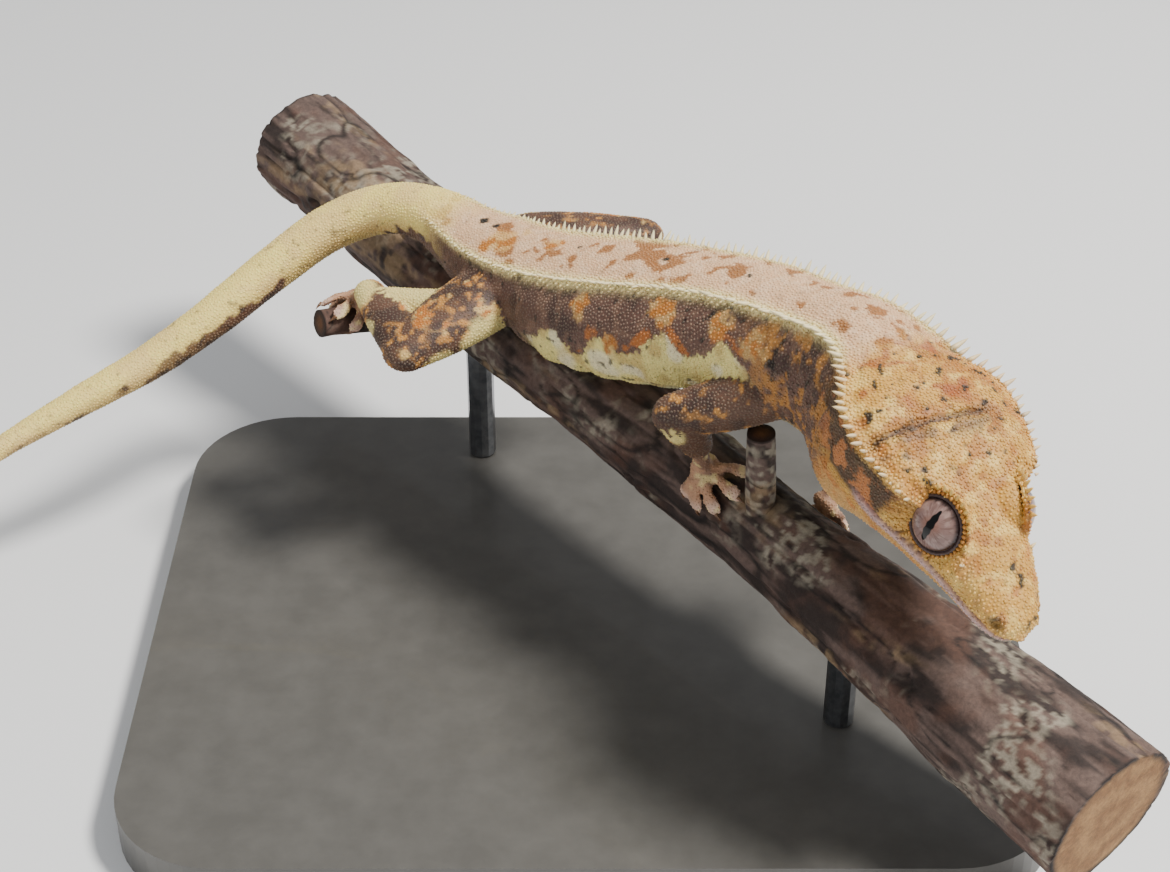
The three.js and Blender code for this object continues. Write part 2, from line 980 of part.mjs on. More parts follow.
function limbs() {
  const bodyGrown = bodyLength(24, VENT + 12, 4, GAP + 0.1);
  const perchGrown = join([
    stickSolid(BRANCH, 18, 8.3, GAP),
    stickSolid(STUB, 9, 4, GAP),
    stickSolid(SNAG, 9, 5, GAP),
  ]);
  const named = (side, upper, lower, end) => [
    `${upper}_${side}`,
    `${lower}_${side}`,
    `${end}_${side}`,
  ];
  const arm = (side, set) =>
    limbNodes(
      named(side, "upper_arm", "forearm", "hand"),
      { points: [set.shoulder, set.elbow, set.wrist], ...set },
      ARM_SIZES,
      bodyGrown,
      perchGrown,
    );
  const leg = (side, set) =>
    limbNodes(
      named(side, "thigh", "shin", "foot"),
      { points: [set.hip, set.knee, set.ankle], ...set },
      LEG_SIZES,
      bodyGrown,
      perchGrown,
    );
  return [
    ...arm("right", RIGHT_ARM),
    ...arm("left", LEFT_ARM),
    ...leg("right", RIGHT_LEG),
    ...leg("left", LEFT_LEG),
  ];
}

// The stand: a flat rounded base and two rods that end against the underside of the branch.
const BASE_LENGTH = 118;
const BASE_DEPTH = 96;
const BASE_THICKNESS = 6;
const BASE_CORNER = 14;
const ROD_RADIUS = 2;
const ROD_PLACES = [46, 124];
function standBase() {
  const x = BASE_LENGTH / 2;
  const y = BASE_DEPTH / 2;
  const outline = new THREE.Shape();
  const corners = [
    [x, y, 0],
    [-x, y, 1],
    [-x, -y, 2],
    [x, -y, 3],
  ];
  corners.forEach(([cx, cy, quarter]) =>
    outline.absarc(
      cx - Math.sign(cx) * BASE_CORNER,
      cy - Math.sign(cy) * BASE_CORNER,
      BASE_CORNER,
      (quarter * Math.PI) / 2,
      ((quarter + 1) * Math.PI) / 2,
      false,
    ),
  );
  const plate = new THREE.ExtrudeGeometry(outline, {
    depth: BASE_THICKNESS,
    bevelEnabled: false,
    curveSegments: 6,
  });
  return solid(plate);
}
function standRod(reach) {
  const foot = BRANCH.surface(reach, degrees(-90), 0);
  const bottom = BASE_THICKNESS + GAP;
  const top = foot.z + 4;
  const rod = new THREE.CylinderGeometry(
    ROD_RADIUS,
    ROD_RADIUS,
    top - bottom,
    12,
  );
  rod.rotateX(Math.PI / 2);
  rod.translate(foot.x, foot.y, (top + bottom) / 2);
  return solid(rod).subtract(stickSolid(BRANCH, 18, 8.3, GAP));
}

const gecko = new THREE.Group();
gecko.add(...headAndJaw(), ...trunk(), ...limbs());
gecko.add(node("perch", perch(), BARK));
gecko.add(node("stand_base", standBase(), BASE_PAINT));
ROD_PLACES.forEach((reach, i) =>
  gecko.add(node(`stand_rod_${i + 1}`, standRod(reach), STEEL)),
);

export default gecko;
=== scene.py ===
# %% [markdown]
# A crested gecko rests on a cut branch, as a life-size museum model.
# The CAD solids are loaded first, because every piece made below has to sit on them.

import math

import bpy
import numpy as np
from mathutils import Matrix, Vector, kdtree


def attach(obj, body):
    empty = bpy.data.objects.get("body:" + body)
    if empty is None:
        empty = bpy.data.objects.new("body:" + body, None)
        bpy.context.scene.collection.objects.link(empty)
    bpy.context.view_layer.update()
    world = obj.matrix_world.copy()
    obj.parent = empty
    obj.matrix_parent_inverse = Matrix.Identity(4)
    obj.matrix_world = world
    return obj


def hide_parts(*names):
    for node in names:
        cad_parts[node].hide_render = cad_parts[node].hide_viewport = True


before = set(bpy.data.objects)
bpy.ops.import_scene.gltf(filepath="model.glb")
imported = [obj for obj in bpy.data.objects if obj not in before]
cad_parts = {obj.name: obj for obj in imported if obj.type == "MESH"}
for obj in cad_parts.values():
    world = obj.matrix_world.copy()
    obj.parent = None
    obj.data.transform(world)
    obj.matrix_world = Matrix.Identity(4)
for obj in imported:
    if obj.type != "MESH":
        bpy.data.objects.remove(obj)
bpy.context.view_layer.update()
MM = 0.001
print("CAD solids:", len(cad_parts))

# %% [markdown]
# The camera stands in front of the branch and looks down on it by 35 degrees.
# A long lens from a short distance gives the close view of a small animal.
# The lens is worked out from the angle of view, so both numbers stay easy to read.

# %% Camera
VIEW_ANGLE = math.radians(30)
SENSOR_WIDTH = 36
CAMERA_AT = Vector((0, -0.23346, 0.19947))
CAMERA_AIM = Vector((0, 0, 0.036))

camera_data = bpy.data.cameras.new("camera")
camera_data.sensor_width = SENSOR_WIDTH
camera_data.lens = SENSOR_WIDTH / 2 / math.tan(VIEW_ANGLE / 2)
camera = bpy.data.objects.new("camera", camera_data)
bpy.context.scene.collection.objects.link(camera)
camera.location = CAMERA_AT
camera.rotation_euler = (CAMERA_AIM - CAMERA_AT).to_track_quat("-Z", "Y").to_euler()
bpy.context.scene.camera = camera
print("lens", round(camera_data.lens, 1), "mm")

# %% [markdown]
# The sizes of the animal are tables of a place along the spine, in millimetres, and a value.
# A smooth curve through a table must not swing past its own values, or the skin would ripple.
# A Hermite curve with weighted slopes keeps each stretch between the two values at its ends.

# %% A smooth curve through a table
def size_along(keys):
    x = np.array([key[0] for key in keys], float)
    y = np.array([key[1] for key in keys], float)
    stretch = np.diff(x)
    rise = np.diff(y) / stretch
    slope = np.zeros(len(x))
    slope[0], slope[-1] = rise[0], rise[-1]
    for i in range(1, len(x) - 1):
        if rise[i - 1] * rise[i] > 0:
            ahead = stretch[i] + 2 * stretch[i - 1]
            behind = 2 * stretch[i] + stretch[i - 1]
            slope[i] = (ahead + behind) / (ahead / rise[i] + behind / rise[i - 1])

    def value(place):
        place = np.clip(np.asarray(place, float), x[0], x[-1])
        i = np.clip(np.searchsorted(x, place, side="left") - 1, 0, len(stretch) - 1)
        t = (place - x[i]) / stretch[i]
        ease = t * t * (3 - 2 * t)
        bend = slope[i] * t * (1 - t) ** 2 - slope[i + 1] * t * t * (1 - t)
        return y[i] + (y[i + 1] - y[i]) * ease + bend * stretch[i]

    return value


print("halfway from 0 to 2:", float(size_along([(0, 0), (1, 2)])(0.5)))

# %% [markdown]
# An adult of this kind is about 113 mm from nose to vent, with a tail of about 96 mm.
# The tables could be a modelled mesh, but numbers can be checked against the photograph.
# Each one is a size that a ruler would find: half the width, the height over the spine's
# line and under it, the gap between the crests, and how square the section is.

# %% The body in numbers
TAIL_TIP = 209
LEAN = size_along([(0, -7), (30, -5), (46, 0), (60, 1), (98, 14), (122, 18), (150, 0)])
HALF_WIDTH = size_along([
    (0, 0.8), (0.7, 2.2), (2.2, 3.5), (5, 4.6), (9, 5.8), (13, 7.3), (17, 9), (21, 10.3),
    (25, 11.1), (29, 11.1), (34, 10.1), (40, 9.2), (47, 8.7), (55, 9), (64, 10), (76, 11),
    (86, 10.6), (96, 8.2), (104, 7), (112, 5.3), (120, 4), (135, 3.5), (155, 3.1),
    (175, 2.5), (192, 1.8), (201, 1.9), (206, 1.5), (TAIL_TIP, 0.5),
])
TOP = size_along([
    (0, 0.6), (0.7, 1.5), (2.2, 2.2), (5, 2.9), (9, 3.8), (13, 4.7), (17, 5.4), (24, 5.9),
    (33, 5.9), (45, 6.8), (60, 8), (76, 8.4), (90, 7.5), (104, 6), (112, 4.7), (122, 3.6),
    (150, 3.1), (175, 2.4), (192, 1.7), (TAIL_TIP, 0.4),
])
BOTTOM = size_along([
    (0, 0.6), (0.7, 1.7), (2.2, 2.7), (5, 3.8), (9, 5.4), (15, 7.7), (22, 10.2), (28, 12.4),
    (34, 14.2), (41, 14.6), (48, 11.6), (58, 8.2), (76, 8.3), (88, 8), (98, 6.1), (106, 5.1),
    (113, 4.4), (122, 3.7), (150, 3.1), (175, 2.3), (192, 1.3), (TAIL_TIP, 0.4),
])
LEVEL = size_along([
    (0, 0), (6, 0), (14, 0.2), (22, -0.5), (28, -1.4), (35, -2.4), (44, -2.4), (54, -1.2),
    (64, -0.6), (90, -0.4), (112, 0), (TAIL_TIP, 0),
])
CREST = size_along([
    (8, 4.6), (12, 6), (17, 8.2), (21, 9.7), (25, 10.5), (29, 9.9), (34, 7.2), (40, 5.7),
    (48, 5.1), (60, 5.4), (76, 5.6), (90, 5), (104, 4.4), (112, 3.5), (118, 2.6),
    (TAIL_TIP, 0.2),
])
TOP_SQUARENESS = size_along([
    (0, 2.2), (12, 2.8), (22, 3.2), (27, 3.2), (34, 2.1), (44, 1.9), (60, 2.1), (TAIL_TIP, 2),
])
BOTTOM_SQUARENESS = size_along([
    (0, 2.1), (14, 2.4), (24, 3.4), (34, 2.7), (50, 2.1), (TAIL_TIP, 2),
])
RIDGE = size_along([
    (8, 0), (13, 0.5), (24, 0.7), (34, 0.7), (50, 0.4), (100, 0.35), (112, 0.2), (120, 0),
])
SPINE_LENGTH = size_along([
    (12, 0.9), (20, 1.2), (27, 2), (35, 2.3), (44, 1.8), (60, 1.5), (80, 1.4), (96, 1),
    (112, 0.6),
])
print("widest at the head:", float(2 * HALF_WIDTH(27)), "mm, at the belly:", float(2 * HALF_WIDTH(76)))

# %% [markdown]
# One curve runs from the nose through the neck, back and hips to the tip of the tail.
# Each place on the skin is then two numbers: how far along this curve, and at what angle.
# That pair carries the shape, the markings and the unwrap, so all three always agree.

# %% The spine
SPINE_POINTS = np.array([
    (47.8, -50, 43.9), (43.2, -40.2, 50.9), (39.2, -30, 56.5), (33.7, -17.1, 58.6),
    (26.8, -7.8, 56), (18, 0.9, 52.8), (8.4, 9.3, 49.4), (-2.4, 18.4, 46.9),
    (-12.6, 28, 46.6), (-21.2, 35.5, 48.9), (-28.8, 39.8, 47.6), (-37, 39.6, 44.3),
    (-45, 35.9, 39.7), (-53.4, 30.4, 34.9), (-61.6, 25.7, 30.8), (-71.4, 19.8, 27.6),
    (-81, 13.4, 24.4), (-89.4, 7.6, 20.6), (-95.6, 3.2, 15.4),
])


def smooth_line(points, count):
    padded = np.vstack([2 * points[0] - points[1], points, 2 * points[-1] - points[-2]])
    t = np.linspace(0, 1, count + 1) * (len(points) - 1)
    i = np.minimum(t.astype(int), len(points) - 2)
    w = (t - i)[:, None]
    a, b, c, d = (padded[i + k] for k in range(4))
    first, last = 0.5 * (c - a), 0.5 * (d - b)
    return b + first * w + (3 * (c - b) - 2 * first - last) * w ** 2 + (
        2 * (b - c) + first + last
    ) * w ** 3


def unit(v):
    return v / np.linalg.norm(v, axis=-1, keepdims=True)


SPINE = smooth_line(SPINE_POINTS, 1200)
SPINE_REACH = np.r_[0, np.cumsum(np.linalg.norm(np.diff(SPINE, axis=0), axis=1))]
NOSE_WAY = unit(SPINE[0] - SPINE[5])
UP = np.array([0.0, 0.0, 1.0])
FRAME_REACH = 1.5
ANGLE_REACH = 0.03
WIDEST_CREST = 0.97


def spine_at(place):
    place = np.asarray(place, float)
    point = np.stack([np.interp(place, SPINE_REACH, SPINE[:, k]) for k in range(3)], -1)
    return point - np.minimum(place, 0)[..., None] * NOSE_WAY


def body_frame(place):
    place = np.asarray(place, float)
    forward = unit(spine_at(place - FRAME_REACH) - spine_at(place + FRAME_REACH))
    right = unit(np.cross(forward, UP))
    back = np.cross(right, forward)
    turn = np.radians(LEAN(place))[..., None]
    cos, sin = np.cos(turn), np.sin(turn)
    return spine_at(place), forward, right * cos - back * sin, back * cos + right * sin


def section(place, angle, grow=0.0):
    level = LEVEL(place)
    upper = np.sin(angle) >= 0
    height = grow + np.where(upper, TOP(place) - level, BOTTOM(place) + level)
    power = 2 / np.where(upper, TOP_SQUARENESS(place), BOTTOM_SQUARENESS(place))
    across = np.sign(np.cos(angle)) * np.abs(np.cos(angle)) ** power * (HALF_WIDTH(place) + grow)
    return across, level + np.where(upper, 1, -1) * np.abs(np.sin(angle)) ** power * height


def crest_angle(place):
    share = np.minimum(CREST(place) / HALF_WIDTH(place), WIDEST_CREST)
    return np.arccos(share ** (TOP_SQUARENESS(place) / 2))


def on_body(place, angle, grow=0.0):
    """A point of the body's surface and the way out of it."""
    centre, _, right, back = body_frame(place)
    across, high = section(place, angle, grow)
    before = section(place, angle - ANGLE_REACH, grow)
    after = section(place, angle + ANGLE_REACH, grow)
    out = right * (after[1] - before[1])[..., None] + back * (before[0] - after[0])[..., None]
    return centre + right * across[..., None] + back * high[..., None], unit(out)


print("nose to tail tip:", round(SPINE_REACH[-1], 1), "mm")

# %% [markdown]
# The body is a row of rings, each one section of the animal, joined into a closed tube.
# Rings stand close together at the nose, where the outline turns fastest.
# The crest is a low ridge on each side of the back, pushed out of the same rings.
# The skin lies a little inside the solids, which leaves room for the scales on it.

# %% Rings for the body
SKIN_DEPTH = 0.13
RING_POINTS = 144
RIDGE_WIDTH = 0.8


def closed_tube(rings):
    """Points and faces of a closed tube through rings of equal counts."""
    rows, count = rings.shape[:2]
    points = np.vstack([rings.reshape(-1, 3), rings[0].mean(0), rings[-1].mean(0)])
    i, j = np.meshgrid(np.arange(rows - 1), np.arange(count), indexing="ij")
    a, b = i * count + j, i * count + (j + 1) % count
    sides = np.stack([a, b, b + count, a + count], -1).reshape(-1, 4)
    j = np.arange(count)
    after = (j + 1) % count
    first = np.stack([after, j, np.full(count, rows * count)], -1)
    last_row = (rows - 1) * count
    last = np.stack([last_row + j, last_row + after, np.full(count, rows * count + 1)], -1)
    return points, [sides, first, last]


def body_rings(places):
    angles = np.linspace(-np.pi / 2, 3 * np.pi / 2, RING_POINTS, endpoint=False)
    place, angle = np.meshgrid(places, angles, indexing="ij")
    point, out = on_body(place, angle, -SKIN_DEPTH)
    crest = crest_angle(place)
    near = np.minimum(np.abs(angle - crest), np.abs(angle - (np.pi - crest)))
    bump = np.exp(-(near * HALF_WIDTH(place) / RIDGE_WIDTH) ** 2) * RIDGE(place)
    return point + out * bump[..., None]


BODY_PLACES = np.r_[
    -0.35, np.linspace(0, 3, 16, endpoint=False), np.linspace(3, 34, 80, endpoint=False),
    np.linspace(34, 120, 120, endpoint=False), np.linspace(120, TAIL_TIP, 110),
]
body_tube = closed_tube(body_rings(BODY_PLACES))
print("body rings:", len(BODY_PLACES))

# %% [markdown]
# Every leg is two tapered lengths that share a joint, with a soft swelling for the muscle.
# They flatten across the plane in which the limb bends, as a real gecko's thin legs do.
# Round ends let the lengths overlap, and the one skin made later swallows the overlap.

# %% A length of limb
LIMB_RING = 40
LIMB_STATIONS = 13
END_BOWS = [math.radians(bow) for bow in (8, 25, 45, 66)]


def limb(start, end, start_radius, end_radius, bulge, flat, plane):
    start, end = np.array(start, float), np.array(end, float)
    length = np.linalg.norm(end - start)
    along = (end - start) / length
    plane = np.array(plane, float)
    thin = unit(plane - along * np.dot(plane, along))
    wide = np.cross(along, thin)
    stations = []
    for bow in END_BOWS:
        stations.append((-start_radius * math.cos(bow), start_radius * math.sin(bow)))
    for share in np.linspace(0, 1, LIMB_STATIONS):
        radius = start_radius + (end_radius - start_radius) * share
        stations.append((length * share, radius + bulge * math.sin(math.pi * share)))
    for bow in reversed(END_BOWS):
        stations.append((length + end_radius * math.cos(bow), end_radius * math.sin(bow)))
    turn = np.linspace(0, 2 * np.pi, LIMB_RING, endpoint=False)[:, None]
    rings = [
        start + along * reach
        + wide * np.cos(turn) * (radius - SKIN_DEPTH)
        + thin * np.sin(turn) * (radius * flat - SKIN_DEPTH)
        for reach, radius in stations
    ]
    return np.array(rings)


ARM = dict(root=3.4, middle=3.2, end=2.3, bulge=0.5, flat=0.85)
LEG = dict(root=5.4, middle=3.6, end=2.3, bulge=0.5, flat=0.75)

# %% [markdown]
# Each foot grips something round, so its place is given on the branch itself:
# how far along the branch, and at what angle round it.
# Toes fan out over the bark from there, and each one follows the curve of the wood.

# %% The branch as something to hold
class Stick:
    """A round length of wood, on which a place is a reach along it and an angle round it."""

    def __init__(self, start, end, radius):
        self.start = np.array(start, float)
        self.length = float(np.linalg.norm(np.array(end, float) - self.start))
        self.along = (np.array(end, float) - self.start) / self.length
        self.near = unit(np.cross(self.along, UP))
        self.over = np.cross(self.near, self.along)
        self.radius = radius

    def surface(self, reach, angle, lift=0.0):
        reach, angle = np.asarray(reach, float), np.asarray(angle, float)
        out = np.cos(angle)[..., None] * self.near + np.sin(angle)[..., None] * self.over
        size = self.radius(reach, angle) + lift
        return self.start + self.along * reach[..., None] + out * size[..., None], out


BRANCH_MIDDLE = np.array([8.6, 8.7, 30.5])
BRANCH_WAY = unit(np.array([0.625, -0.776, -0.115]))
BRANCH_FAR, BRANCH_NEAR = 84, 82
BRANCH_THICKNESS = size_along([
    (0, 9.2), (40, 8), (84, 6.9), (105, 6.6), (130, 8), (150, 9.4), (166, 9.8),
])


def branch_radius(reach, angle):
    wave = 0.28 * np.sin(2 * angle + 0.045 * reach) + 0.22 * np.sin(3 * angle - 0.09 * reach + 1)
    return BRANCH_THICKNESS(reach) + wave


BRANCH = Stick(
    BRANCH_MIDDLE - BRANCH_WAY * BRANCH_FAR, BRANCH_MIDDLE + BRANCH_WAY * BRANCH_NEAR,
    branch_radius)
STUB = Stick((22.2, -11.8, 33), (21.7, -12.8, 45.4), lambda reach, angle: 2 - 0.012 * reach)
SNAG = Stick((-17, 34, 35), (-36.6, 22.2, 39.4), lambda reach, angle: 2.4 - 0.02 * reach)

print("branch:", round(BRANCH.length, 1), "mm long")

# %% [markdown]
# The palm is a flat pad with five toes that widen towards the tip, where they stick.
# A toe could be a bone chain, but here its middle line simply runs over the bark,
# lifted by its own depth and a low arch, and rings along that line make its body.
# The branch then never cuts through a toe, wherever the foot is put.

# %% A foot
GAP = 0.3
TOE_START = 1.6
TOE_ARCH = 0.9
TOE_STATIONS, TOE_RING = 22, 28
TOE_SKIN = 0.06
TOE_WIDTH = size_along([(0, 0.85), (0.35, 0.7), (0.62, 1.1), (0.85, 1.15), (1, 0.6)])
TOE_DEPTH = size_along([(0, 0.8), (0.35, 0.62), (0.62, 0.5), (0.85, 0.45), (1, 0.32)])


def toe_line(stick, reach, angle, way, length, share):
    """Middle of a toe and the way off the bark, at each share of its length."""
    far = TOE_START + share * length
    radius = float(stick.radius(np.array(reach), np.array(angle)))
    lift = GAP + TOE_DEPTH(share) + TOE_ARCH * np.sin(np.pi * share) * (1 - share)
    turn = angle + math.sin(way) * far / radius
    return stick.surface(reach + math.cos(way) * far, turn, lift)


def make_toe(stick, reach, angle, way, length):
    """Rings of a toe, and the middle, heading and outward way of its tip."""
    share = np.linspace(0, 1, TOE_STATIONS)
    middle, out = toe_line(stick, reach, angle, way, length, share)
    ahead = unit(np.gradient(middle, axis=0))
    side = unit(np.cross(out, ahead))
    out = np.cross(ahead, side)
    turn = np.linspace(0, 2 * np.pi, TOE_RING, endpoint=False)[:, None]
    rings = []
    for k, s in enumerate(share):
        wide, deep = float(TOE_WIDTH(s)) - TOE_SKIN, float(TOE_DEPTH(s)) - TOE_SKIN
        rings.append(middle[k] + side[k] * np.cos(turn) * wide + out[k] * np.sin(turn) * deep)
    tip = [middle[-1] + ahead[-1] * 0.25 + (rings[-1] - middle[-1]) * 0.75,
           middle[-1] + ahead[-1] * 0.4 + (rings[-1] - middle[-1]) * 0.35]
    return np.array(rings + tip), (middle[-1], ahead[-1], out[-1])


def make_ball(centre, axes, radii):
    """Rings of an ellipsoid, for a palm or a pad."""
    bow = np.linspace(0.12, np.pi - 0.12, 18)[:, None, None]
    turn = np.linspace(0, 2 * np.pi, 32, endpoint=False)[None, :, None]
    a, b, c = (axes[k] * radii[k] for k in range(3))
    return centre - a * np.cos(bow) + (b * np.cos(turn) + c * np.sin(turn)) * np.sin(bow)


PARTS = []
CLAWS = []


def add_part(kind, rings):
    PARTS.append(dict(kind=kind, rings=rings))


def add_foot(kind, joint, stick, reach, angle, heading, splay, toes, palm):
    angle, heading, splay = (math.radians(v) for v in (angle, heading, splay))
    centre, out = stick.surface(reach, angle, GAP + 0.9 * palm[2])
    radius = float(stick.radius(np.array(reach), np.array(angle)))
    turned = angle + math.sin(heading) / radius
    next_spot = stick.surface(reach + math.cos(heading), turned)[0]
    ahead = unit(next_spot - stick.surface(reach, angle)[0])
    side = np.cross(out, ahead)
    add_part("palm", make_ball(centre, (ahead, side, out), np.array(palm) - SKIN_DEPTH))
    add_part("palm", limb(joint, centre, 0.62 * palm[1], 0.7 * palm[1], 0, 0.8, out))
    for i, length in enumerate(toes):
        way = heading - splay + 2 * splay * i / (len(toes) - 1)
        rings, tip = make_toe(stick, reach, angle, way, length)
        add_part("toe", rings)
        CLAWS.append((kind, *tip))


def add_leg(kind, root, bend, end, sizes, hold):
    root, bend, end = (np.array(p, float) for p in (root, bend, end))
    plane = unit(np.cross(bend - root, end - bend))
    flat, middle = sizes["flat"], sizes["middle"]
    add_part("upper_" + kind, limb(root, bend, sizes["root"], middle, sizes["bulge"], flat, plane))
    lower = limb(bend, end, 0.92 * middle, sizes["end"], 0.5 * sizes["bulge"], flat, plane)
    add_part("lower_" + kind, lower)
    add_foot(kind, end, *hold)


HAND = [2.8, 3.6, 4.4, 4.8, 4]
HAND_PALM = [2.4, 2.2, 1.1]
add_leg("arm_right", (24.2, -12.6, 51.2), (11.4, -10.2, 46.4), (14, -8.6, 41), ARM,
        (BRANCH, 99.5, 58, -35, 68, HAND, HAND_PALM))
add_leg("arm_left", (33, -7.6, 52.4), (40.6, -4, 46), (35, -5.6, 38.6), ARM,
        (BRANCH, 111, 154, 70, 64, HAND, HAND_PALM))
add_leg("leg_right", (-12.4, 21.2, 45), (-23.6, 11.6, 42), (-29.6, 23.4, 43.6), LEG,
        (SNAG, 17, 76, -10, 66, [2.8, 3.4, 4, 4, 3.2], [2.4, 2.1, 1.1]))
add_leg("leg_left", (-7.6, 34.6, 45.4), (7.6, 35.6, 45.6), (-2.6, 43.6, 42.6), LEG,
        (BRANCH, 48, 126, 200, 62, [3.4, 4.2, 4.8, 5, 4], [2.6, 2.2, 1.1]))
fold_plane = unit(np.cross(np.array([-11.2, -9.6, -3.0]), np.array([-6.0, 11.8, 1.6])))
add_part("fold", limb((-20, 19.4, 44.4), (-27.2, 21.7, 44.2), 2.4, 1.6, 0, 0.7, fold_plane))
print("limb parts:", len(PARTS), "claws:", len(CLAWS))

# %% [markdown]
# A crested gecko has no eyelids: a raised rim of skin frames each eye.
# Over the eye the rim is thicker and stands out further, as the ledge of the brow.
# It is a closed tube round the gaze, and it melts into the head when the skin is made.

# %% Eye rims and brows
EYE_AT = 14.6
EYE_OUT, EYE_UP = 4.5, 1.5
EYE_SHIFT_OUT, EYE_SHIFT_UP, EYE_SHIFT_FORE = 0.2, 0.45, 0.4
EYE_RADIUS = 3.45
EYES = {}
TUBE_RING = 16


def round_tube(line, radii):
    """Rings along a line that closes on itself."""
    ahead = unit(np.roll(line, -1, 0) - np.roll(line, 1, 0))
    side = unit(np.cross(ahead, unit(line - line.mean(0)) + 0.01))
    up = np.cross(ahead, side)
    turn = np.linspace(0, 2 * np.pi, TUBE_RING, endpoint=False)[None, :, None]
    radii = np.broadcast_to(np.asarray(radii, float), (len(line),))[:, None, None]
    return line[:, None] + (side[:, None] * np.cos(turn) + up[:, None] * np.sin(turn)) * radii


def ring_round(eye, count, out, brow_out, radius, brow_radius):
    """A ring of points round the gaze, its outward ways, and how much of it is the brow."""
    turn = np.linspace(0, 2 * np.pi, count, endpoint=False)[:, None]
    brow = np.clip(np.cos(turn - 0.1), 0, 1)
    way = eye["high"] * np.cos(turn) + eye["fore"] * np.sin(turn)
    ring = eye["middle"] + eye["gaze"] * (out + brow_out * brow) + way * (radius + brow_radius * brow)
    return ring, way, brow[:, 0]


for name, side in (("right", 1), ("left", -1)):
    centre, forward, right, back = body_frame(np.array(EYE_AT))
    middle = centre + right * side * EYE_OUT + back * EYE_UP
    gaze = unit(right * side + 0.5 * back + 0.2 * forward)
    high = unit(back - gaze * np.dot(back, gaze))
    fore = unit(forward - gaze * np.dot(forward, gaze) - high * np.dot(forward, high))
    middle = middle + gaze * EYE_SHIFT_OUT + high * EYE_SHIFT_UP + fore * EYE_SHIFT_FORE
    eye = dict(middle=middle, gaze=gaze, high=high, fore=fore)
    ring, _, brow = ring_round(eye, 72, 1.0, 0.7, 3.76, 0.1)
    eye["rim"] = round_tube(ring, 0.36 + 0.24 * brow)
    EYES[name] = eye
print("eyes at", {k: [round(float(c), 1) for c in v["middle"]] for k, v in EYES.items()})

# %% [markdown]
# All those closed forms overlap. One real skin has no seams, so they become one mesh.
# A voxel remesh takes the outside of everything at once, and a light smoothing rounds
# the hollows where a leg meets the body, much as skin stretches over a joint.

# %% Join the forms into one skin
VOXEL = 0.4


def mesh_of(name, points, face_lists):
    """A mesh from millimetre points and lists of equal-sided faces."""
    data = bpy.data.meshes.new(name)
    data.vertices.add(len(points))
    data.vertices.foreach_set("co", (np.asarray(points) * MM).astype(np.float32).ravel())
    loops = np.concatenate([np.asarray(f).ravel() for f in face_lists]).astype(np.int32)
    sizes = np.concatenate([np.full(len(f), np.asarray(f).shape[1]) for f in face_lists])
    starts = np.r_[0, np.cumsum(sizes)[:-1]].astype(np.int32)
    data.loops.add(len(loops))
    data.loops.foreach_set("vertex_index", loops)
    data.polygons.add(len(starts))
    data.polygons.foreach_set("loop_start", starts)
    data.update(calc_edges=True)
    data.validate()
    return data


def add_object(name, data, smooth=True):
    obj = bpy.data.objects.new(name, data)
    bpy.context.scene.collection.objects.link(obj)
    if smooth:
        data.polygons.foreach_set("use_smooth", np.ones(len(data.polygons), bool))
    return obj


def joined(tubes):
    points, lists, start = [], [], 0
    for piece_points, faces in tubes:
        points.append(piece_points)
        lists.extend(np.asarray(f) + start for f in faces)
        start += len(piece_points)
    return np.vstack(points), lists


def ring_tube(rings):
    """A closed loop of rings, such as the rim of an eye."""
    rows, count = rings.shape[:2]
    i, j = np.meshgrid(np.arange(rows), np.arange(count), indexing="ij")
    a, b = i * count + j, i * count + (j + 1) % count
    c, d = (i + 1) % rows * count + (j + 1) % count, (i + 1) % rows * count + j
    return rings.reshape(-1, 3), [np.stack([a, b, c, d], -1).reshape(-1, 4)]


def applied(obj):
    """The object's mesh with its modifiers worked in."""
    graph = bpy.context.evaluated_depsgraph_get()
    data = bpy.data.meshes.new_from_object(obj.evaluated_get(graph))
    old = obj.data
    obj.modifiers.clear()
    obj.data = data
    bpy.data.meshes.remove(old)


def read_points(data, what):
    flat = np.empty(len(data.vertices) * 3, np.float32)
    data.vertices.foreach_get(what, flat)
    return flat.reshape(-1, 3).astype(float)


def coordinates(data):
    return read_points(data, "co") / MM


def set_coordinates(data, points):
    data.vertices.foreach_set("co", (points * MM).astype(np.float32).ravel())
    data.update()


forms = [body_tube] + [closed_tube(part["rings"]) for part in PARTS]
forms += [ring_tube(eye["rim"]) for eye in EYES.values()]
skin = add_object("gecko_skin", mesh_of("gecko_skin", *joined(forms)))
remesh = skin.modifiers.new("one_skin", "REMESH")
remesh.mode = "VOXEL"
remesh.voxel_size = VOXEL * MM
soften = skin.modifiers.new("soften", "SMOOTH")
soften.factor = 0.5
soften.iterations = 3
applied(skin)
print("skin:", len(skin.data.vertices), "points", len(skin.data.polygons), "faces")

# %% [markdown]
# The skin no longer knows which part a point came from, and the markings need to.
# A search tree of sample points, each with its place on the animal, gives that back.
# Every skin point then takes the place of its nearest sample.

# %% Where on the animal a point is
BODY, UPPER, LOWER, PALM, TOE = range(5)
KINDS = {"fold": UPPER, "palm": PALM, "toe": TOE}
SAMPLE_PITCH, SAMPLE_TURN = 0.4, 3.0


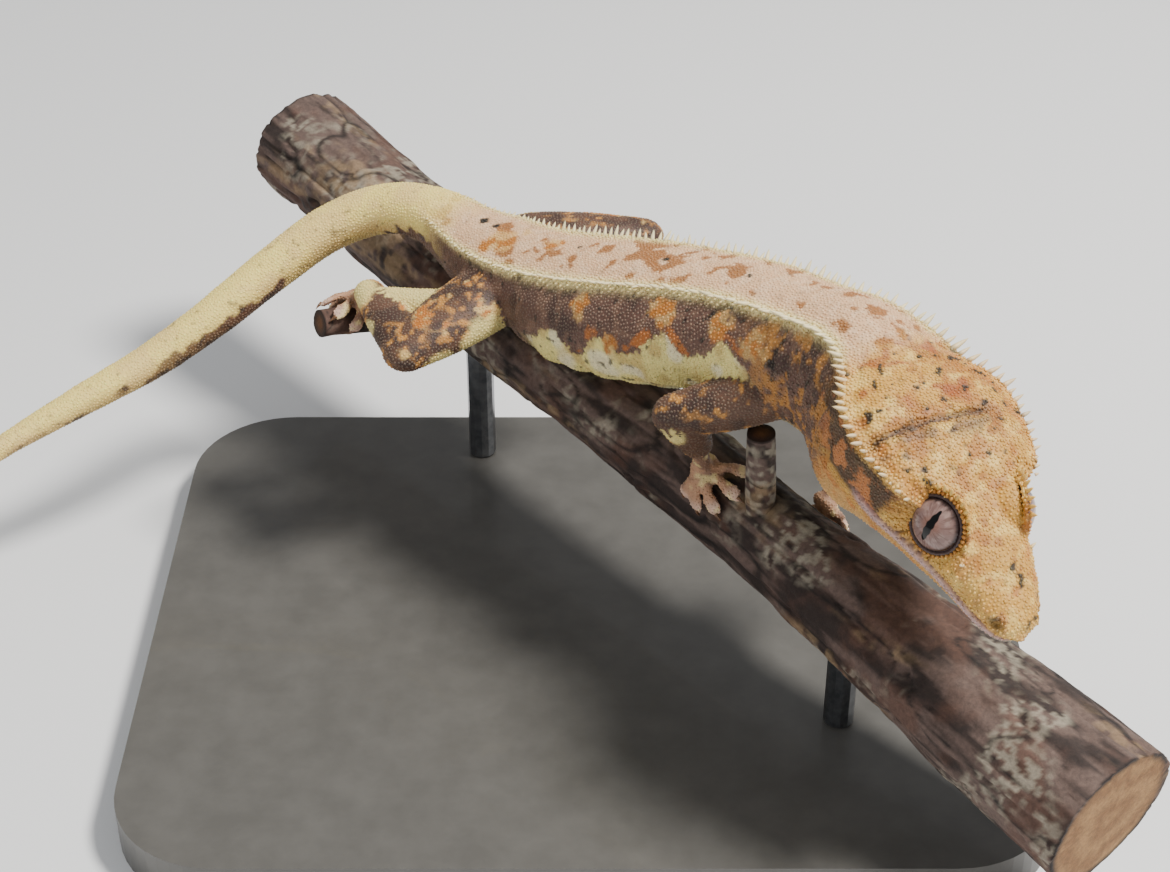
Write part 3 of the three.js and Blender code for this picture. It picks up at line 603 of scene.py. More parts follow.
def sample_table():
    place, angle = np.meshgrid(
        np.arange(0, TAIL_TIP, SAMPLE_PITCH), np.radians(np.arange(-90, 270, SAMPLE_TURN)),
        indexing="ij")
    place, angle = place.ravel(), angle.ravel()
    points = [on_body(place, angle, -SKIN_DEPTH)[0]]
    facts = [np.stack([np.full(len(place), BODY), place, angle, np.full(len(place), -1)], -1)]
    for number, part in enumerate(PARTS):
        rows, count = part["rings"].shape[:2]
        kind = KINDS.get(part["kind"], UPPER if part["kind"].startswith("upper") else LOWER)
        i, j = np.meshgrid(np.linspace(0, 1, rows), np.arange(count) / count, indexing="ij")
        points.append(part["rings"].reshape(-1, 3))
        facts.append(np.stack([
            np.full(i.size, kind), i.ravel(), j.ravel() * 2 * np.pi, np.full(i.size, number),
        ], -1))
    return np.vstack(points), np.vstack(facts)


sample_points, sample_facts = sample_table()
tree = kdtree.KDTree(len(sample_points))
for index, point in enumerate(sample_points):
    tree.insert(point, index)
tree.balance()


def places_of(points):
    """Kind, place, angle and part number of the nearest sample to each point."""
    return sample_facts[[tree.find(point)[1] for point in points]]


print("samples:", len(sample_points))

# %% [markdown]
# Skin colour changes in soft patches and in small freckles. Both come from noise:
# random numbers on a grid of points in space, blended smoothly between neighbours.
# The same noise is used by the skin and by every scale that grows on it.

# %% Noise in space
rng = np.random.default_rng(7)
NOISE_GRID = rng.random((64, 64, 64))


def noise(points, size, shift=0.0):
    """Smooth random values from 0 to 1 that change over `size` millimetres."""
    cell = np.asarray(points, float) / size + 31.7 + shift
    whole = np.floor(cell).astype(int)
    part = cell - whole
    part = part * part * (3 - 2 * part)
    total = 0
    for dx in (0, 1):
        for dy in (0, 1):
            for dz in (0, 1):
                weight = (
                    (part[:, 0] if dx else 1 - part[:, 0])
                    * (part[:, 1] if dy else 1 - part[:, 1])
                    * (part[:, 2] if dz else 1 - part[:, 2])
                )
                i, j, k = ((whole[:, n] + d) % 64 for n, d in enumerate((dx, dy, dz)))
                total = total + weight * NOISE_GRID[i, j, k]
    return total


def cloud(points, size, shift=0.0):
    """Three sizes of noise added up, for ragged edges."""
    return (
        0.55 * noise(points, size, shift)
        + 0.3 * noise(points, size / 2.1, shift + 9)
        + 0.15 * noise(points, size / 4.3, shift + 17)
    )


def step(value, low, high):
    t = np.clip((value - low) / (high - low), 0, 1)
    return t * t * (3 - 2 * t)


# %% [markdown]
# The head needs more than a smooth form: lips, a mouth line, nostrils, ear openings,
# a fold behind the brow and a shallow dish on top. Each one moves the skin's points
# along their normals, by an amount that falls off with distance from the feature.

# %% Tools for carving
MOUTH = size_along([(0, -0.4), (3, -0.5), (9, -0.9), (15, -1.7), (19, -2.4), (24, -2.2)])
JAW_END = 21.5
CREASE_AT = 23.4
EAR_AT, EAR_WIDE, EAR_TALL = 28.5, 0.9, 1.6
EYE_HOLLOW = 2.5
BALL_SUNK, BALL_COVER = 0.5, 0.3
EDGE_SOFTNESS = 0.02


def across_and_up(points, place):
    """How far points lie to the right of the spine's line and above it."""
    centre, _, right, back = body_frame(place)
    away = points - centre
    return (away * right).sum(-1), (away * back).sum(-1)


def mouth_distance(points, facts):
    """Signed height above the mouth line, and how strongly the line shows there."""
    place = facts[:, 1]
    _, high = across_and_up(points, place)
    jaw = (facts[:, 0] == BODY) & (place < JAW_END + 1.5)
    fade = np.where(jaw, 1 - step(place, JAW_END - 1.5, JAW_END + 1), 0)
    return high - MOUTH(place), fade


def bell(distance, width):
    return np.exp(-(distance / width) ** 2)


def distance(points, centre):
    return np.linalg.norm(points - centre, axis=1)


def spot_on_body(place, angle):
    return on_body(np.array(float(place)), np.array(math.radians(angle)), -SKIN_DEPTH)


def up_the_side(angle):
    """The angle up from the widest line, the same on both sides of the animal."""
    return np.where(np.cos(angle) >= 0, angle, np.pi - angle)


def crease_line(points, angle):
    """Where the fold across the back of the head lies, and how deep it is."""
    line = CREASE_AT + 0.75 * (angle - 0.56) + 0.5 * (noise(points, 2.2) - 0.5)
    return line, step(angle, 0.42, 0.6) * (1 - step(angle, 1.75, 2.1))


def ear_distance(points, centre):
    """Distance from an ear opening, measured so that its upright oval becomes round."""
    away = points - centre
    return np.hypot((away @ ear_forward) / EAR_WIDE, (away @ ear_back) / EAR_TALL)


def round_eye(points, eye):
    """The way from an eye's middle to each point, its length, and how far it faces the gaze."""
    away = points - eye["middle"]
    reach = np.maximum(np.linalg.norm(away, axis=1), 0.1)
    return away, reach, (away @ eye["gaze"]) / reach


def eye_edge(away, eye):
    """How far round the ball the lid reaches, as a cosine from the gaze. The brow reaches further."""
    high, fore = away @ eye["high"], away @ eye["fore"]
    return 0.27 + 0.15 * np.clip(high / np.maximum(np.hypot(high, fore), 0.1), 0, 1)


def open_eyes(points):
    """Sinks the skin in front of each ball and lifts the skin that must cover it."""
    for eye in EYES.values():
        away, reach, facing = round_eye(points, eye)
        edge = eye_edge(away, eye)
        sunk = np.where(reach < EYE_RADIUS + EYE_HOLLOW, EYE_RADIUS - BALL_SUNK, reach)
        raised = np.maximum(reach, EYE_RADIUS + BALL_COVER)
        size = np.where(facing < edge - EDGE_SOFTNESS, raised, reach)
        size = np.where(facing > edge + EDGE_SOFTNESS, sunk, size)
        points = eye["middle"] + away * (size / reach)[:, None]
    return points


NOSTRILS = [spot_on_body(1.9, angle) for angle in (24, 156)]
EARS = [spot_on_body(EAR_AT, angle) for angle in (-4, 184)]
_, ear_forward, _, ear_back = body_frame(np.array(EAR_AT))
DISH, _ = spot_on_body(16.5, 96)
print("nostrils:", len(NOSTRILS), "ears:", len(EARS))

# %% [markdown]
# A sculptor would press each of these forms into clay. A modeller could use brushes,
# but a sum of smooth bumps says where each form is, how wide and how deep.
# All the pushes are added first, and the points move once.

# %% Carve the head and the loose skin
points = coordinates(skin.data)
facts = places_of(points)
normal = read_points(skin.data, "normal")
kind, place, angle, _ = facts.T

# The mouth is a thin groove between two soft lips, and the nostrils have a low rim.
high, fade = mouth_distance(points, facts)
push = -0.42 * bell(high, 0.22) * fade
push += 0.14 * bell(high - 0.75, 0.45) * fade + 0.16 * bell(high + 0.85, 0.5) * fade
for centre, _ in NOSTRILS:
    near = distance(points, centre)
    push += -0.6 * bell(near, 0.5) + 0.18 * bell(near - 0.95, 0.35)

# The ear is an upright oval hole.
for centre, out in EARS:
    near = ear_distance(points, centre)
    same_side = np.abs((points - centre) @ out) < 3
    push += np.where(same_side, -1.0 * bell(near, 0.85) + 0.12 * bell(near - 1.5, 0.4), 0)

# The top of the head has a shallow dish, a fold across its rear and an uneven surface.
on_top = (kind == BODY) & (np.sin(angle) > 0)
push += np.where(on_top, -0.55 * bell(distance(points, DISH), 3.2), 0)
line, depth = crease_line(points, angle)
behind = place - line
push += np.where(on_top, depth * (-0.5 * bell(behind, 0.45) + 0.25 * bell(behind + 1, 0.9)), 0)
bumps = 0.75 * (cloud(points, 2.4, 140) - 0.5) + 0.16 * (noise(points, 0.9, 145) - 0.5)
bumps *= step(np.minimum(*[distance(points, eye["middle"]) for eye in EYES.values()]), 4.3, 6.0)
push += np.where(on_top & (place < 34), bumps, 0)

# Loose skin wrinkles over the ribs and pleats on the neck.
loose = (kind == BODY) & (place > 30) & (place < 110)
push += np.where(loose, 0.32 * (cloud(points, 3.4, 3) - 0.5), 0.1 * (noise(points, 2.0) - 0.5))
side = up_the_side(angle)
ribs = np.sin(place * 1.35 + 1.5 * noise(points, 5.0, 150)) * bell(side + 0.45, 0.45)
push += np.where(loose & (place > 50) & (place < 100), 0.2 * ribs, 0)
pleats = np.sin(place * 2.4 + side * 2 + 2 * noise(points, 4.0, 155)) * bell(side - 0.1, 0.5)
push += np.where(loose & (place < 50), 0.22 * pleats, 0)
points = open_eyes(points + normal * push[:, None])
set_coordinates(skin.data, points)
print("largest push:", round(float(np.abs(push).max()), 2), "mm")

# %% [markdown]
# The carving leaves a sharp step where the rim of each eye meets the head.
# A smoothing that acts only near the eyes rounds it off, and fades out away from them.
# It pulls a little skin over the ball, so the eyes are opened once more after it.

# %% Round off the skin by the eyes
group = skin.vertex_groups.new(name="round_eyes")
for eye in EYES.values():
    away, reach, facing = round_eye(points, eye)
    weight = step(eye_edge(away, eye) - facing, 0.12, 0.3) * (1 - step(reach, 5.0, 7.0))
    for index in np.nonzero(weight > 0.02)[0]:
        group.add([int(index)], float(weight[index]), "ADD")
rounding = skin.modifiers.new("round_eyes", "SMOOTH")
rounding.factor = 0.6
rounding.iterations = 14
rounding.vertex_group = "round_eyes"
applied(skin)
points = open_eyes(coordinates(skin.data))
set_coordinates(skin.data, points)
print("skin height:", round(float(np.ptp(points[:, 2])), 1), "mm")

# %% [markdown]
# The markings are drawn once, as a function of where a point is on the animal.
# The head is golden tan with dark flecks, the back a pale peach band between cream
# crests, the flanks mauve brown with orange and cream blotches, and the belly pale.
# The legs repeat the flank's colours, and the tail is cream with ragged brown sides.

# %% Colours
PIGMENT = 1.35


def shade(red, green, blue):
    """A colour given as the eye sees it, 0 to 255, turned into light values."""
    value = np.array([red, green, blue]) / 255
    light = np.where(value <= 0.04045, value / 12.92, ((value + 0.055) / 1.055) ** 2.4)
    return light ** PIGMENT


GOLD = shade(213, 172, 92)
PALE_GOLD = shade(238, 208, 134)
PEACH = shade(228, 194, 160)
CREAM = shade(238, 222, 170)
IVORY = shade(243, 234, 206)
MAUVE = shade(128, 100, 88)
DARK_MAUVE = shade(88, 66, 60)
BLACKISH = shade(42, 30, 26)
ORANGE = shade(206, 134, 62)
RUST = shade(172, 100, 52)
GREY_GREEN = shade(196, 196, 168)
LILAC = shade(206, 178, 176)
PINK_PAD = shade(226, 196, 178)


def mix(colour, other, amount):
    return colour + (other - colour) * np.clip(amount, 0, 1)[:, None]


def even(colour, points):
    return np.tile(colour, (len(points), 1))


def painted(colour, *coats):
    """A colour with coats of paint over it, each given as its colour and how much it covers."""
    for paint, cover in coats:
        colour = mix(colour, paint, cover)
    return colour


def patch(points, place, angle, size, ragged=0.35, shift=0.0):
    """How much a point is inside a ragged round patch that lies on the body."""
    far = distance(points, spot_on_body(place, angle)[0]) / size
    far = far + ragged * (cloud(points, size * 0.8, shift) - 0.5) * 2
    return 1 - step(far, 0.75, 1.1)


print("half gold, half black:", np.round(painted(GOLD[None], (BLACKISH, np.array([0.5]))), 3))

# %% [markdown]
# The head is golden and mottled, with painted shade in the dips of its uneven surface and in the fold
# across its back, and flecked with near black.
# An image could carry this, but would smear at the sides, where a function never does.
# Each coat of paint is a colour and a cover, so the list reads as a painter would work.

# %% The head's colours
def head_colour(points, place, angle, across):
    up = np.sin(angle)
    top = step(up, 0.2, 0.5)
    from_crest = np.abs(across) - CREST(place)
    # Darker brown where the carved bumps dip: painted shade in the hollows.
    hollow_shade = 1 - step(cloud(points, 2.4, 140), 0.36, 0.5)
    rear = step(noise(points, 1.7, 6), 0.72, 0.8) * step(place, 24, 27)
    brow = bell(from_crest / 1.6, 1) * top * step(cloud(points, 2.2, 8), 0.4, 0.6)
    fleck = step(noise(points, 0.95, 12), 0.77, 0.82) * step(up, 0.1, 0.4)
    fleck *= step(noise(points, 6.0, 14), 0.38, 0.5)
    line, depth = crease_line(points, angle)
    shadow = bell(place - line + 1.4, 0.9) * depth * step(cloud(points, 1.8, 4), 0.45, 0.6)
    return painted(
        even(GOLD, points),
        (PALE_GOLD, 0.8 * step(cloud(points, 1.6, 2), 0.5, 0.66)),
        (shade(186, 130, 66), 0.75 * hollow_shade),
        (shade(178, 128, 72), 0.8 * step(cloud(points, 1.5, 5), 0.62, 0.72)),
        (RUST, 0.75 * rear),
        (ORANGE, 0.7 * brow),
        (PALE_GOLD, 0.5 * bell(from_crest / 0.7, 1) * top),
        (BLACKISH, 0.95 * fleck),
        # A darker line in the groove of the fold across the head: painted shade.
        (shade(112, 86, 66), bell(place - line, 0.5) * depth),
        (shade(146, 118, 92), 0.8 * shadow),
        (shade(205, 160, 84), 0.6 * (1 - step(up, -0.05, 0.25))),
    )


def face_marks(colour, points, place, angle, high):
    """The dark band behind the eye, the lips, painted shade in the nostrils and along the mouth
    groove, and the throat.
    """
    lip = high - MOUTH(place)
    jaw = 1 - step(place, JAW_END - 1, JAW_END + 1.5)
    below_crest = 1 - step(up_the_side(angle) - crest_angle(place), -0.2, -0.1)
    band = step(place, 17.2, 18.6) * below_crest * step(lip, -1.4, -0.6)
    spot = band * step(cloud(points, 2.0, 22) - 0.16 * step(lip, 1.2, 3.2), 0.42, 0.5)
    throat = 1 - step(lip, -3.2, -1.6)
    gold = step(cloud(points, 1.7, 31), 0.42, 0.62) * step(lip, -7, -4)
    nostrils = [1.2 * bell(distance(points, centre), 0.55) for centre, _ in NOSTRILS]
    return painted(
        colour,
        (DARK_MAUVE, 0.92 * band),
        (shade(208, 148, 96), 0.85 * spot),
        (PALE_GOLD, 0.4 * bell(lip - 1.0, 0.7) * jaw * (1 - band)),
        (LILAC, bell(lip + 0.75, 0.6) * jaw),
        # The nostril pits are painted near black: painted shade.
        *[(shade(52, 34, 26), cover) for cover in nostrils],
        # A dark line along the carved mouth groove: painted shade.
        (DARK_MAUVE, 0.9 * bell(lip, 0.16) * jaw),
        (shade(214, 176, 120), throat),
        (ORANGE, 0.7 * throat * gold),
        (GREY_GREEN, 0.8 * (1 - step(np.sin(angle), -0.95, -0.6))),
    )


# %% [markdown]
# The back is a pale band between the crests, and the flanks are mauve brown under it,
# with a cream wave along the belly and gold at the neck. A few patches and spots stand
# where this animal has them, given as a place along the spine, an angle and a size.

# %% The trunk's colours
STREAK_WAY = np.array([0.8, 0.8, 1.3])
TRUNK_PATCHES = [
    (81.5, 42, 1.9), (67, 40, 1.9), (101, 84, 2.6), (103, 70, 1.9), (75, 12, 1.5),
    (93, 96, 1.3), (81.5, 138, 1.9), (67, 140, 1.9), (58, 34, 1.6), (52, 24, 2.4),
]
SPOTS = [(108, 100, 0.75), (105, 98, 0.6), (72, 90, 0.6), (88, 96, 0.4), (58, 84, 0.4)]


def back_colour(points, side):
    streak = cloud(points * STREAK_WAY, 1.8, 66) + 0.1 * bell((np.pi / 2 - side) / 0.5, 1)
    return painted(
        even(PEACH, points),
        (shade(236, 208, 178), 0.6 * step(noise(points, 0.8, 61), 0.5, 0.7)),
        (shade(174, 122, 66), 0.9 * step(streak, 0.66, 0.72)),
    )


def flank_cream(points):
    return painted(
        even(shade(238, 224, 158), points),
        (shade(206, 180, 122), 0.7 * step(noise(points, 1.6, 47), 0.4, 0.7)),
        (IVORY, 0.7 * step(noise(points, 2.6, 49), 0.55, 0.75)),
    )


def trunk_colour(points, place, angle):
    crest, side = crest_angle(place), up_the_side(angle)
    ragged = 0.3 * (cloud(points, 2.6, 45) - 0.5)
    above = step(side - crest + 0.5 * ragged, -0.16, 0.0)
    waves = side + (0.16 * np.sin(place * 0.62 + 1.2) + 1.3 * ragged)
    low = (1 - step(waves, 0.12, 0.24)) * bell(place - 72, 21)
    between = bell(waves - 0.3, 0.16) * bell(place - 68, 18) * cloud(points, 2.0, 57)
    neck_gold = step(cloud(points, 1.8, 59), 0.48, 0.6) * (1 - step(place, 48, 56)) * (1 - above)
    freckle = step(noise(points, 0.75, 70), 0.79, 0.86) * (1 - 0.75 * above)
    colour = painted(
        even(MAUVE, points),
        (DARK_MAUVE, 0.75 * step(cloud(points, 4.0, 40), 0.46, 0.66)),
        (shade(160, 130, 110), 0.5 * step(noise(points, 0.9, 43), 0.55, 0.75)),
        (flank_cream(points), step(low, 0.35, 0.55)),
        (shade(196, 130, 62), 0.9 * step(between, 0.3, 0.42)),
        (shade(198, 150, 84), 0.85 * neck_gold),
        (GREY_GREEN, 0.85 * (1 - step(side + ragged, -1.0, -0.55))),
        (back_colour(points, side), above),
        (shade(240, 226, 170), 0.95 * bell(side - crest + 0.02 + 0.3 * ragged, 0.1)),
        (BLACKISH, 0.8 * freckle),
    )
    for spot_place, spot_angle, size in TRUNK_PATCHES:
        inside = patch(points, spot_place, spot_angle, size, 0.9, spot_place)
        colour = painted(
            colour,
            (shade(226, 190, 130), 0.7 * inside),
            (shade(196, 138, 66), inside * step(cloud(points, 1.3, 60), 0.46, 0.56)),
        )
    for spot_place, spot_angle, size in SPOTS:
        colour = mix(colour, BLACKISH, patch(points, spot_place, spot_angle, size, 0.2))
    return colour


print("patches on the trunk:", len(TRUNK_PATCHES), "dark spots:", len(SPOTS))

# %% [markdown]
# The tail is cream above, with ragged brown sides. The legs are brown with gold grain
# and pale edges at knee and elbow, and the toes have pale pads.
# Pale edges are balls of paint round a few points, which is simpler than a painted mask.

# %% The tail, legs and feet
def tail_colour(points, place, angle):
    side = up_the_side(angle)
    edge = 1 - step(side + 1.5 * (cloud(points, 2.6, 84) - 0.5), -0.05, 0.12)
    edge *= step(cloud(points, 6.5, 88), 0.44, 0.5)
    return painted(
        even(shade(250, 230, 152), points),
        (PEACH, 0.35 * step(cloud(points, 3.0, 80), 0.45, 0.7)),
        (shade(214, 182, 130), 0.6 * (1 - step(side, -0.2, 0.6))),
        (shade(132, 100, 80), edge * (1 - 0.6 * step(place, 150, 190))),
        (DARK_MAUVE, 0.8 * edge * step(cloud(points, 1.4, 90), 0.5, 0.6)),
        (shade(196, 180, 150), 0.7 * (1 - step(side, -1.15, -0.7))),
        (DARK_MAUVE, 0.5 * step(noise(points, 0.8, 95), 0.82, 0.9)),
    )


LEG_EDGES = [
    ("lower_leg_right", (-31.4, 22.6, 44.8), 3.4), ("lower_leg_right", (-30.2, 15.5, 42.2), 2.2),
    ("upper_leg_right", (-13.0, 13.5, 41.0), 4.6), ("upper_leg_right", (-19.0, 10.2, 40.0), 2.8),
    ("lower_arm_right", (10.4, -12.6, 43.4), 2.6), ("lower_leg_left", (-2.0, 42.6, 45.4), 2.4),
]


def pale_edges(points, names):
    """How much a point lies on the pale edges of a leg."""
    ragged = 0.5 * (cloud(points, 1.6, 113) - 0.5)
    cover = np.where(names == "fold", 1.0, 0)
    for name, spot, size in LEG_EDGES:
        near = distance(points, np.array(spot)) / size + ragged
        cover = np.maximum(cover, np.where(names == name, 1 - step(near, 0.75, 1.05), 0))
    return cover


def limb_colour(points, part):
    names = np.array([p["kind"] for p in PARTS])[part.astype(int)]
    grain = step(noise(points, 0.75, 105), 0.56, 0.72) * step(cloud(points, 3.0, 104), 0.42, 0.6)
    hind = (np.char.find(names, "leg") >= 0) | (names == "fold")
    blotch = step(cloud(points, 2.8, 108), 0.61, 0.67) * hind
    return painted(
        even(shade(122, 94, 78), points),
        (DARK_MAUVE, 0.8 * step(cloud(points, 2.6, 101), 0.46, 0.62)),
        (shade(206, 158, 92), grain),
        (shade(230, 200, 140), 0.8 * blotch),
        (shade(198, 136, 66), blotch * step(cloud(points, 1.5, 111), 0.46, 0.58)),
        (shade(238, 222, 160), 0.9 * pale_edges(points, names)),
    )


def foot_colour(points, kind, share):
    return painted(
        even(shade(196, 160, 132), points),
        (MAUVE, 0.8 * step(cloud(points, 1.8, 120), 0.48, 0.66)),
        (PINK_PAD, 0.9 * np.where(kind == TOE, step(share, 0.45, 0.75), 0)),
        (CREAM, 0.6 * step(noise(points, 0.9, 124), 0.66, 0.76)),
    )


print("pale edges on the legs:", len(LEG_EDGES))

# %% [markdown]
# The parts' colours meet in soft, ragged borders on the neck and at the root of the tail.
# One function answers for any point, so the skin and each scale on it always match.

# %% The whole animal's markings
def markings(points, facts):
    """The colour of the animal at each point, as light values."""
    kind, place, angle, part = facts.T
    across, high = across_and_up(points, place)
    head = head_colour(points, place, angle, across)
    head = face_marks(head, points, place, angle, high)
    jitter = 3 * (cloud(points, 3.0, 130) - 0.5)
    top = np.where(np.sin(angle) > 0.3, 5.0, 0.0)
    colour = painted(
        head,
        (trunk_colour(points, place, angle), step(place + jitter - top, 27, 34)),
        (tail_colour(points, place, angle), step(place + 2 * jitter, 110, 118)),
    )
    on_leg = (kind == UPPER) | (kind == LOWER)
    colour = np.where(on_leg[:, None], limb_colour(points, np.maximum(part, 0)), colour)
    return np.where((kind >= PALM)[:, None], foot_colour(points, kind, place), colour)


facts = places_of(points)
skin_colour = markings(points, facts)
print("mean skin colour:", np.round(skin_colour.mean(0), 3))

# %% [markdown]
# The colours are stored on the skin's points, and one material shows them.
# Fine noise in the material breaks up what the points are too coarse to carry.
# Skin lets a little light in, so it gets a small amount of subsurface scattering.

# %% Skin and scale materials
def paint_points(data, colours):
    layer = data.color_attributes.new("marking", "FLOAT_COLOR", "POINT")
    values = np.hstack([colours, np.ones((len(colours), 1))]).astype(np.float32)
    layer.data.foreach_set("color", values.ravel())


class Nodes:
    """Short calls for building a material's node tree."""

    def __init__(self, name):
        self.material = bpy.data.materials.new(name)
        self.material.use_nodes = True
        self.tree = self.material.node_tree
        self.shader = self.tree.nodes["Principled BSDF"]

    def add(self, kind, **inputs):
        node = self.tree.nodes.new(kind)
        for key, value in inputs.items():
            node.inputs[key].default_value = value
        return node

    def texture(self, size, detail=4.0, roughness=0.6):
        """Noise in the object's own millimetres: one lump is about `size` across."""
        where = self.add("ShaderNodeTexCoord").outputs["Object"]
        node = self.add("ShaderNodeTexNoise", Scale=1 / (size * MM), Detail=detail,
                        Roughness=roughness)
        self.tree.links.new(where, node.inputs["Vector"])
        return node.outputs["Fac"]

    def ramp(self, value, *stops):
        node = self.add("ShaderNodeValToRGB")
        self.tree.links.new(value, node.inputs["Fac"])
        for element, (place, colour) in zip(node.color_ramp.elements, stops):
            element.position = place
            grey = isinstance(colour, float)
            element.color = (colour,) * 3 + (1,) if grey else (*colour, 1)
        return node.outputs["Color"]

    def marked(self, cover, fine):
        """Shows the colours stored on the points, darkened in part by a fine pattern."""
        paint = self.add("ShaderNodeAttribute")
        paint.attribute_name = "marking"
        node = self.add("ShaderNodeMix")
        node.data_type = "RGBA"
        node.blend_type = "MULTIPLY"
        node.inputs[0].default_value = cover
        self.tree.links.new(paint.outputs["Color"], node.inputs[6])
        self.tree.links.new(fine, node.inputs[7])
        self.colour(node.outputs[2])

    def bump(self, height, strength, distance):
        node = self.add("ShaderNodeBump", Strength=strength, Distance=distance * MM)
        self.tree.links.new(height, node.inputs["Height"])
        self.tree.links.new(node.outputs["Normal"], self.shader.inputs["Normal"])

    def colour(self, socket):
        self.tree.links.new(socket, self.shader.inputs["Base Color"])

    def set(self, **values):
        for key, value in values.items():
            self.shader.inputs[key.replace("_", " ")].default_value = value


def marked_material(name, roughness, spread):
    nodes = Nodes(name)
    nodes.marked(0.6, nodes.ramp(nodes.texture(0.5), (0.3, 0.72), (0.7, 1.0)))
    nodes.set(Roughness=roughness, Subsurface_Weight=0.12, Subsurface_Scale=spread * MM)
    nodes.set(Subsurface_Radius=(1.0, 0.5, 0.35))
    nodes.bump(nodes.texture(0.16, 3.0), 0.35, 0.05)
    return nodes.material


paint_points(skin.data, skin_colour)
skin.data.materials.append(marked_material("gecko_skin", 0.6, 0.6))
FLESH = ["head", "lower_jaw", "neck", "chest", "belly", "pelvis"]
FLESH += ["tail_%d" % number for number in (1, 2, 3, 4)]
for limb_parts in (("upper_arm", "forearm", "hand"), ("thigh", "shin", "foot")):
    for side in ("right", "left"):
        FLESH += ["%s_%s" % (part, side) for part in limb_parts]
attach(skin, "root")
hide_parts(*FLESH)
print("flesh nodes under the skin:", len(FLESH))

# %% [markdown]
# The unwrap lays the body out as one tall sheet: the place along the spine runs one way
# and the angle round it the other. The legs, palms and toes get a strip of their own.
# A baker can store the colour of any scale at the spot where that scale is rooted.

# %% Unwrap
BODY_STRIP = 0.72
PART_COLUMNS = 12
BAKE_PATCH = 0.0014


def unwrap(facts):
    kind, place, angle, part = facts.T
    body_u = 0.01 + 0.98 * place / TAIL_TIP
    body_v = 0.01 + (BODY_STRIP - 0.02) * ((angle + np.pi / 2) / (2 * np.pi) % 1)
    width = 0.98 / PART_COLUMNS
    rows = math.ceil(len(PARTS) / PART_COLUMNS)
    row, column = np.divmod(np.maximum(part, 0), PART_COLUMNS)
    tall = (1 - BODY_STRIP) / rows
    part_u = 0.01 + (column + 0.05 + 0.9 * place) * width
    part_v = BODY_STRIP + (row + 0.05 + 0.9 * (angle / (2 * np.pi) % 1)) * tall
    body = kind == BODY
    return np.stack([np.where(body, body_u, part_u), np.where(body, body_v, part_v)], -1)


def set_bake_map(data, point_uv):
    layer = data.uv_layers.new(name="OFBake")
    corner = np.empty(len(data.loops), np.int32)
    data.loops.foreach_get("vertex_index", corner)
    layer.data.foreach_set("uv", point_uv[corner].astype(np.float32).ravel())


print("rows of limb strips:", math.ceil(len(PARTS) / PART_COLUMNS))

# %% [markdown]
# Crested gecko skin is covered with granules: tiny domed scales that nearly touch.
# Points are scattered over the skin no closer than one granule's width, and each one
# becomes a small six-sided dome, turned at random and coloured by the markings there.
# They are real joined meshes, so they catch the light and can be cast or printed.

# %% Scatter points over the skin
GRANULE_PITCH = 0.4


def scatter(surface, pitch, seed):
    """Evenly spread points on a surface, with their normals, in millimetres."""
    group = bpy.data.node_groups.new("scatter", "GeometryNodeTree")
    group.interface.new_socket("Geometry", in_out="INPUT", socket_type="NodeSocketGeometry")
    group.interface.new_socket("Geometry", in_out="OUTPUT", socket_type="NodeSocketGeometry")
    start = group.nodes.new("NodeGroupInput")
    spread = group.nodes.new("GeometryNodeDistributePointsOnFaces")
    spread.distribute_method = "POISSON"
    spread.inputs["Distance Min"].default_value = pitch * MM
    spread.inputs["Density Max"].default_value = 4 / (pitch * MM) ** 2
    spread.inputs["Seed"].default_value = seed
    store = group.nodes.new("GeometryNodeStoreNamedAttribute")
    store.data_type = "FLOAT_VECTOR"
    store.domain = "POINT"
    store.inputs["Name"].default_value = "out"
    turn = group.nodes.new("GeometryNodePointsToVertices")
    end = group.nodes.new("NodeGroupOutput")
    link = group.links.new
    link(start.outputs[0], spread.inputs["Mesh"])
    link(spread.outputs["Points"], store.inputs["Geometry"])
    link(spread.outputs["Normal"], store.inputs["Value"])
    link(store.outputs["Geometry"], turn.inputs["Points"])
    link(turn.outputs[0], end.inputs[0])
    helper = bpy.data.objects.new("scatter", surface.data)
    bpy.context.scene.collection.objects.link(helper)
    helper.modifiers.new("scatter", "NODES").node_group = group
    graph = bpy.context.evaluated_depsgraph_get()
    found = bpy.data.meshes.new_from_object(helper.evaluated_get(graph))
    where = coordinates(found)
    out = np.empty(len(where) * 3, np.float32)
    found.attributes["out"].data.foreach_get("vector", out)
    bpy.data.objects.remove(helper)
    bpy.data.meshes.remove(found)
    bpy.data.node_groups.remove(group)
    return where, unit(out.reshape(-1, 3).astype(float))


roots, root_out = scatter(skin, GRANULE_PITCH, 3)
root_facts = places_of(roots)
print("roots:", len(roots))

# %% [markdown]
# Scales stop at every opening of the real skin. Roots that fall there are dropped,
# which is simpler and more exact than painting a density mask by hand.

# %% Keep granules off the lips, eyes, nostrils and ears
def clear_of_face(points, facts):
    high, fade = mouth_distance(points, facts)
    keep = ~((np.abs(high) < 0.34) & (fade > 0.2))
    for centre, _ in NOSTRILS:
        keep &= distance(points, centre) > 0.5
    for centre, _ in EARS:
        keep &= ear_distance(points, centre) > 0.8
    for eye in EYES.values():
        away, reach, facing = round_eye(points, eye)
        keep &= ~((reach < EYE_RADIUS + 0.12) & (facing > eye_edge(away, eye) - 0.03))
    return keep


keep = clear_of_face(roots, root_facts)
roots, root_out, root_facts = roots[keep], root_out[keep], root_facts[keep]
print("granules:", len(roots))

# %% [markdown]
# A granule could be an instance, but a joined mesh keeps its own colour and its own
# patch of the unwrap. Scales are smaller on the feet and the tail, larger on the crests.
# Each is sunk a little into the skin, and they are shared out over a few pieces.

# %% Build the granules
GRANULE_HIGH = size_along([
    (0, 0.12), (8, 0.15), (20, 0.17), (34, 0.15), (60, 0.13), (TAIL_TIP, 0.1),
])
DOME_SIDES = 6
DOME_SINK = 0.05


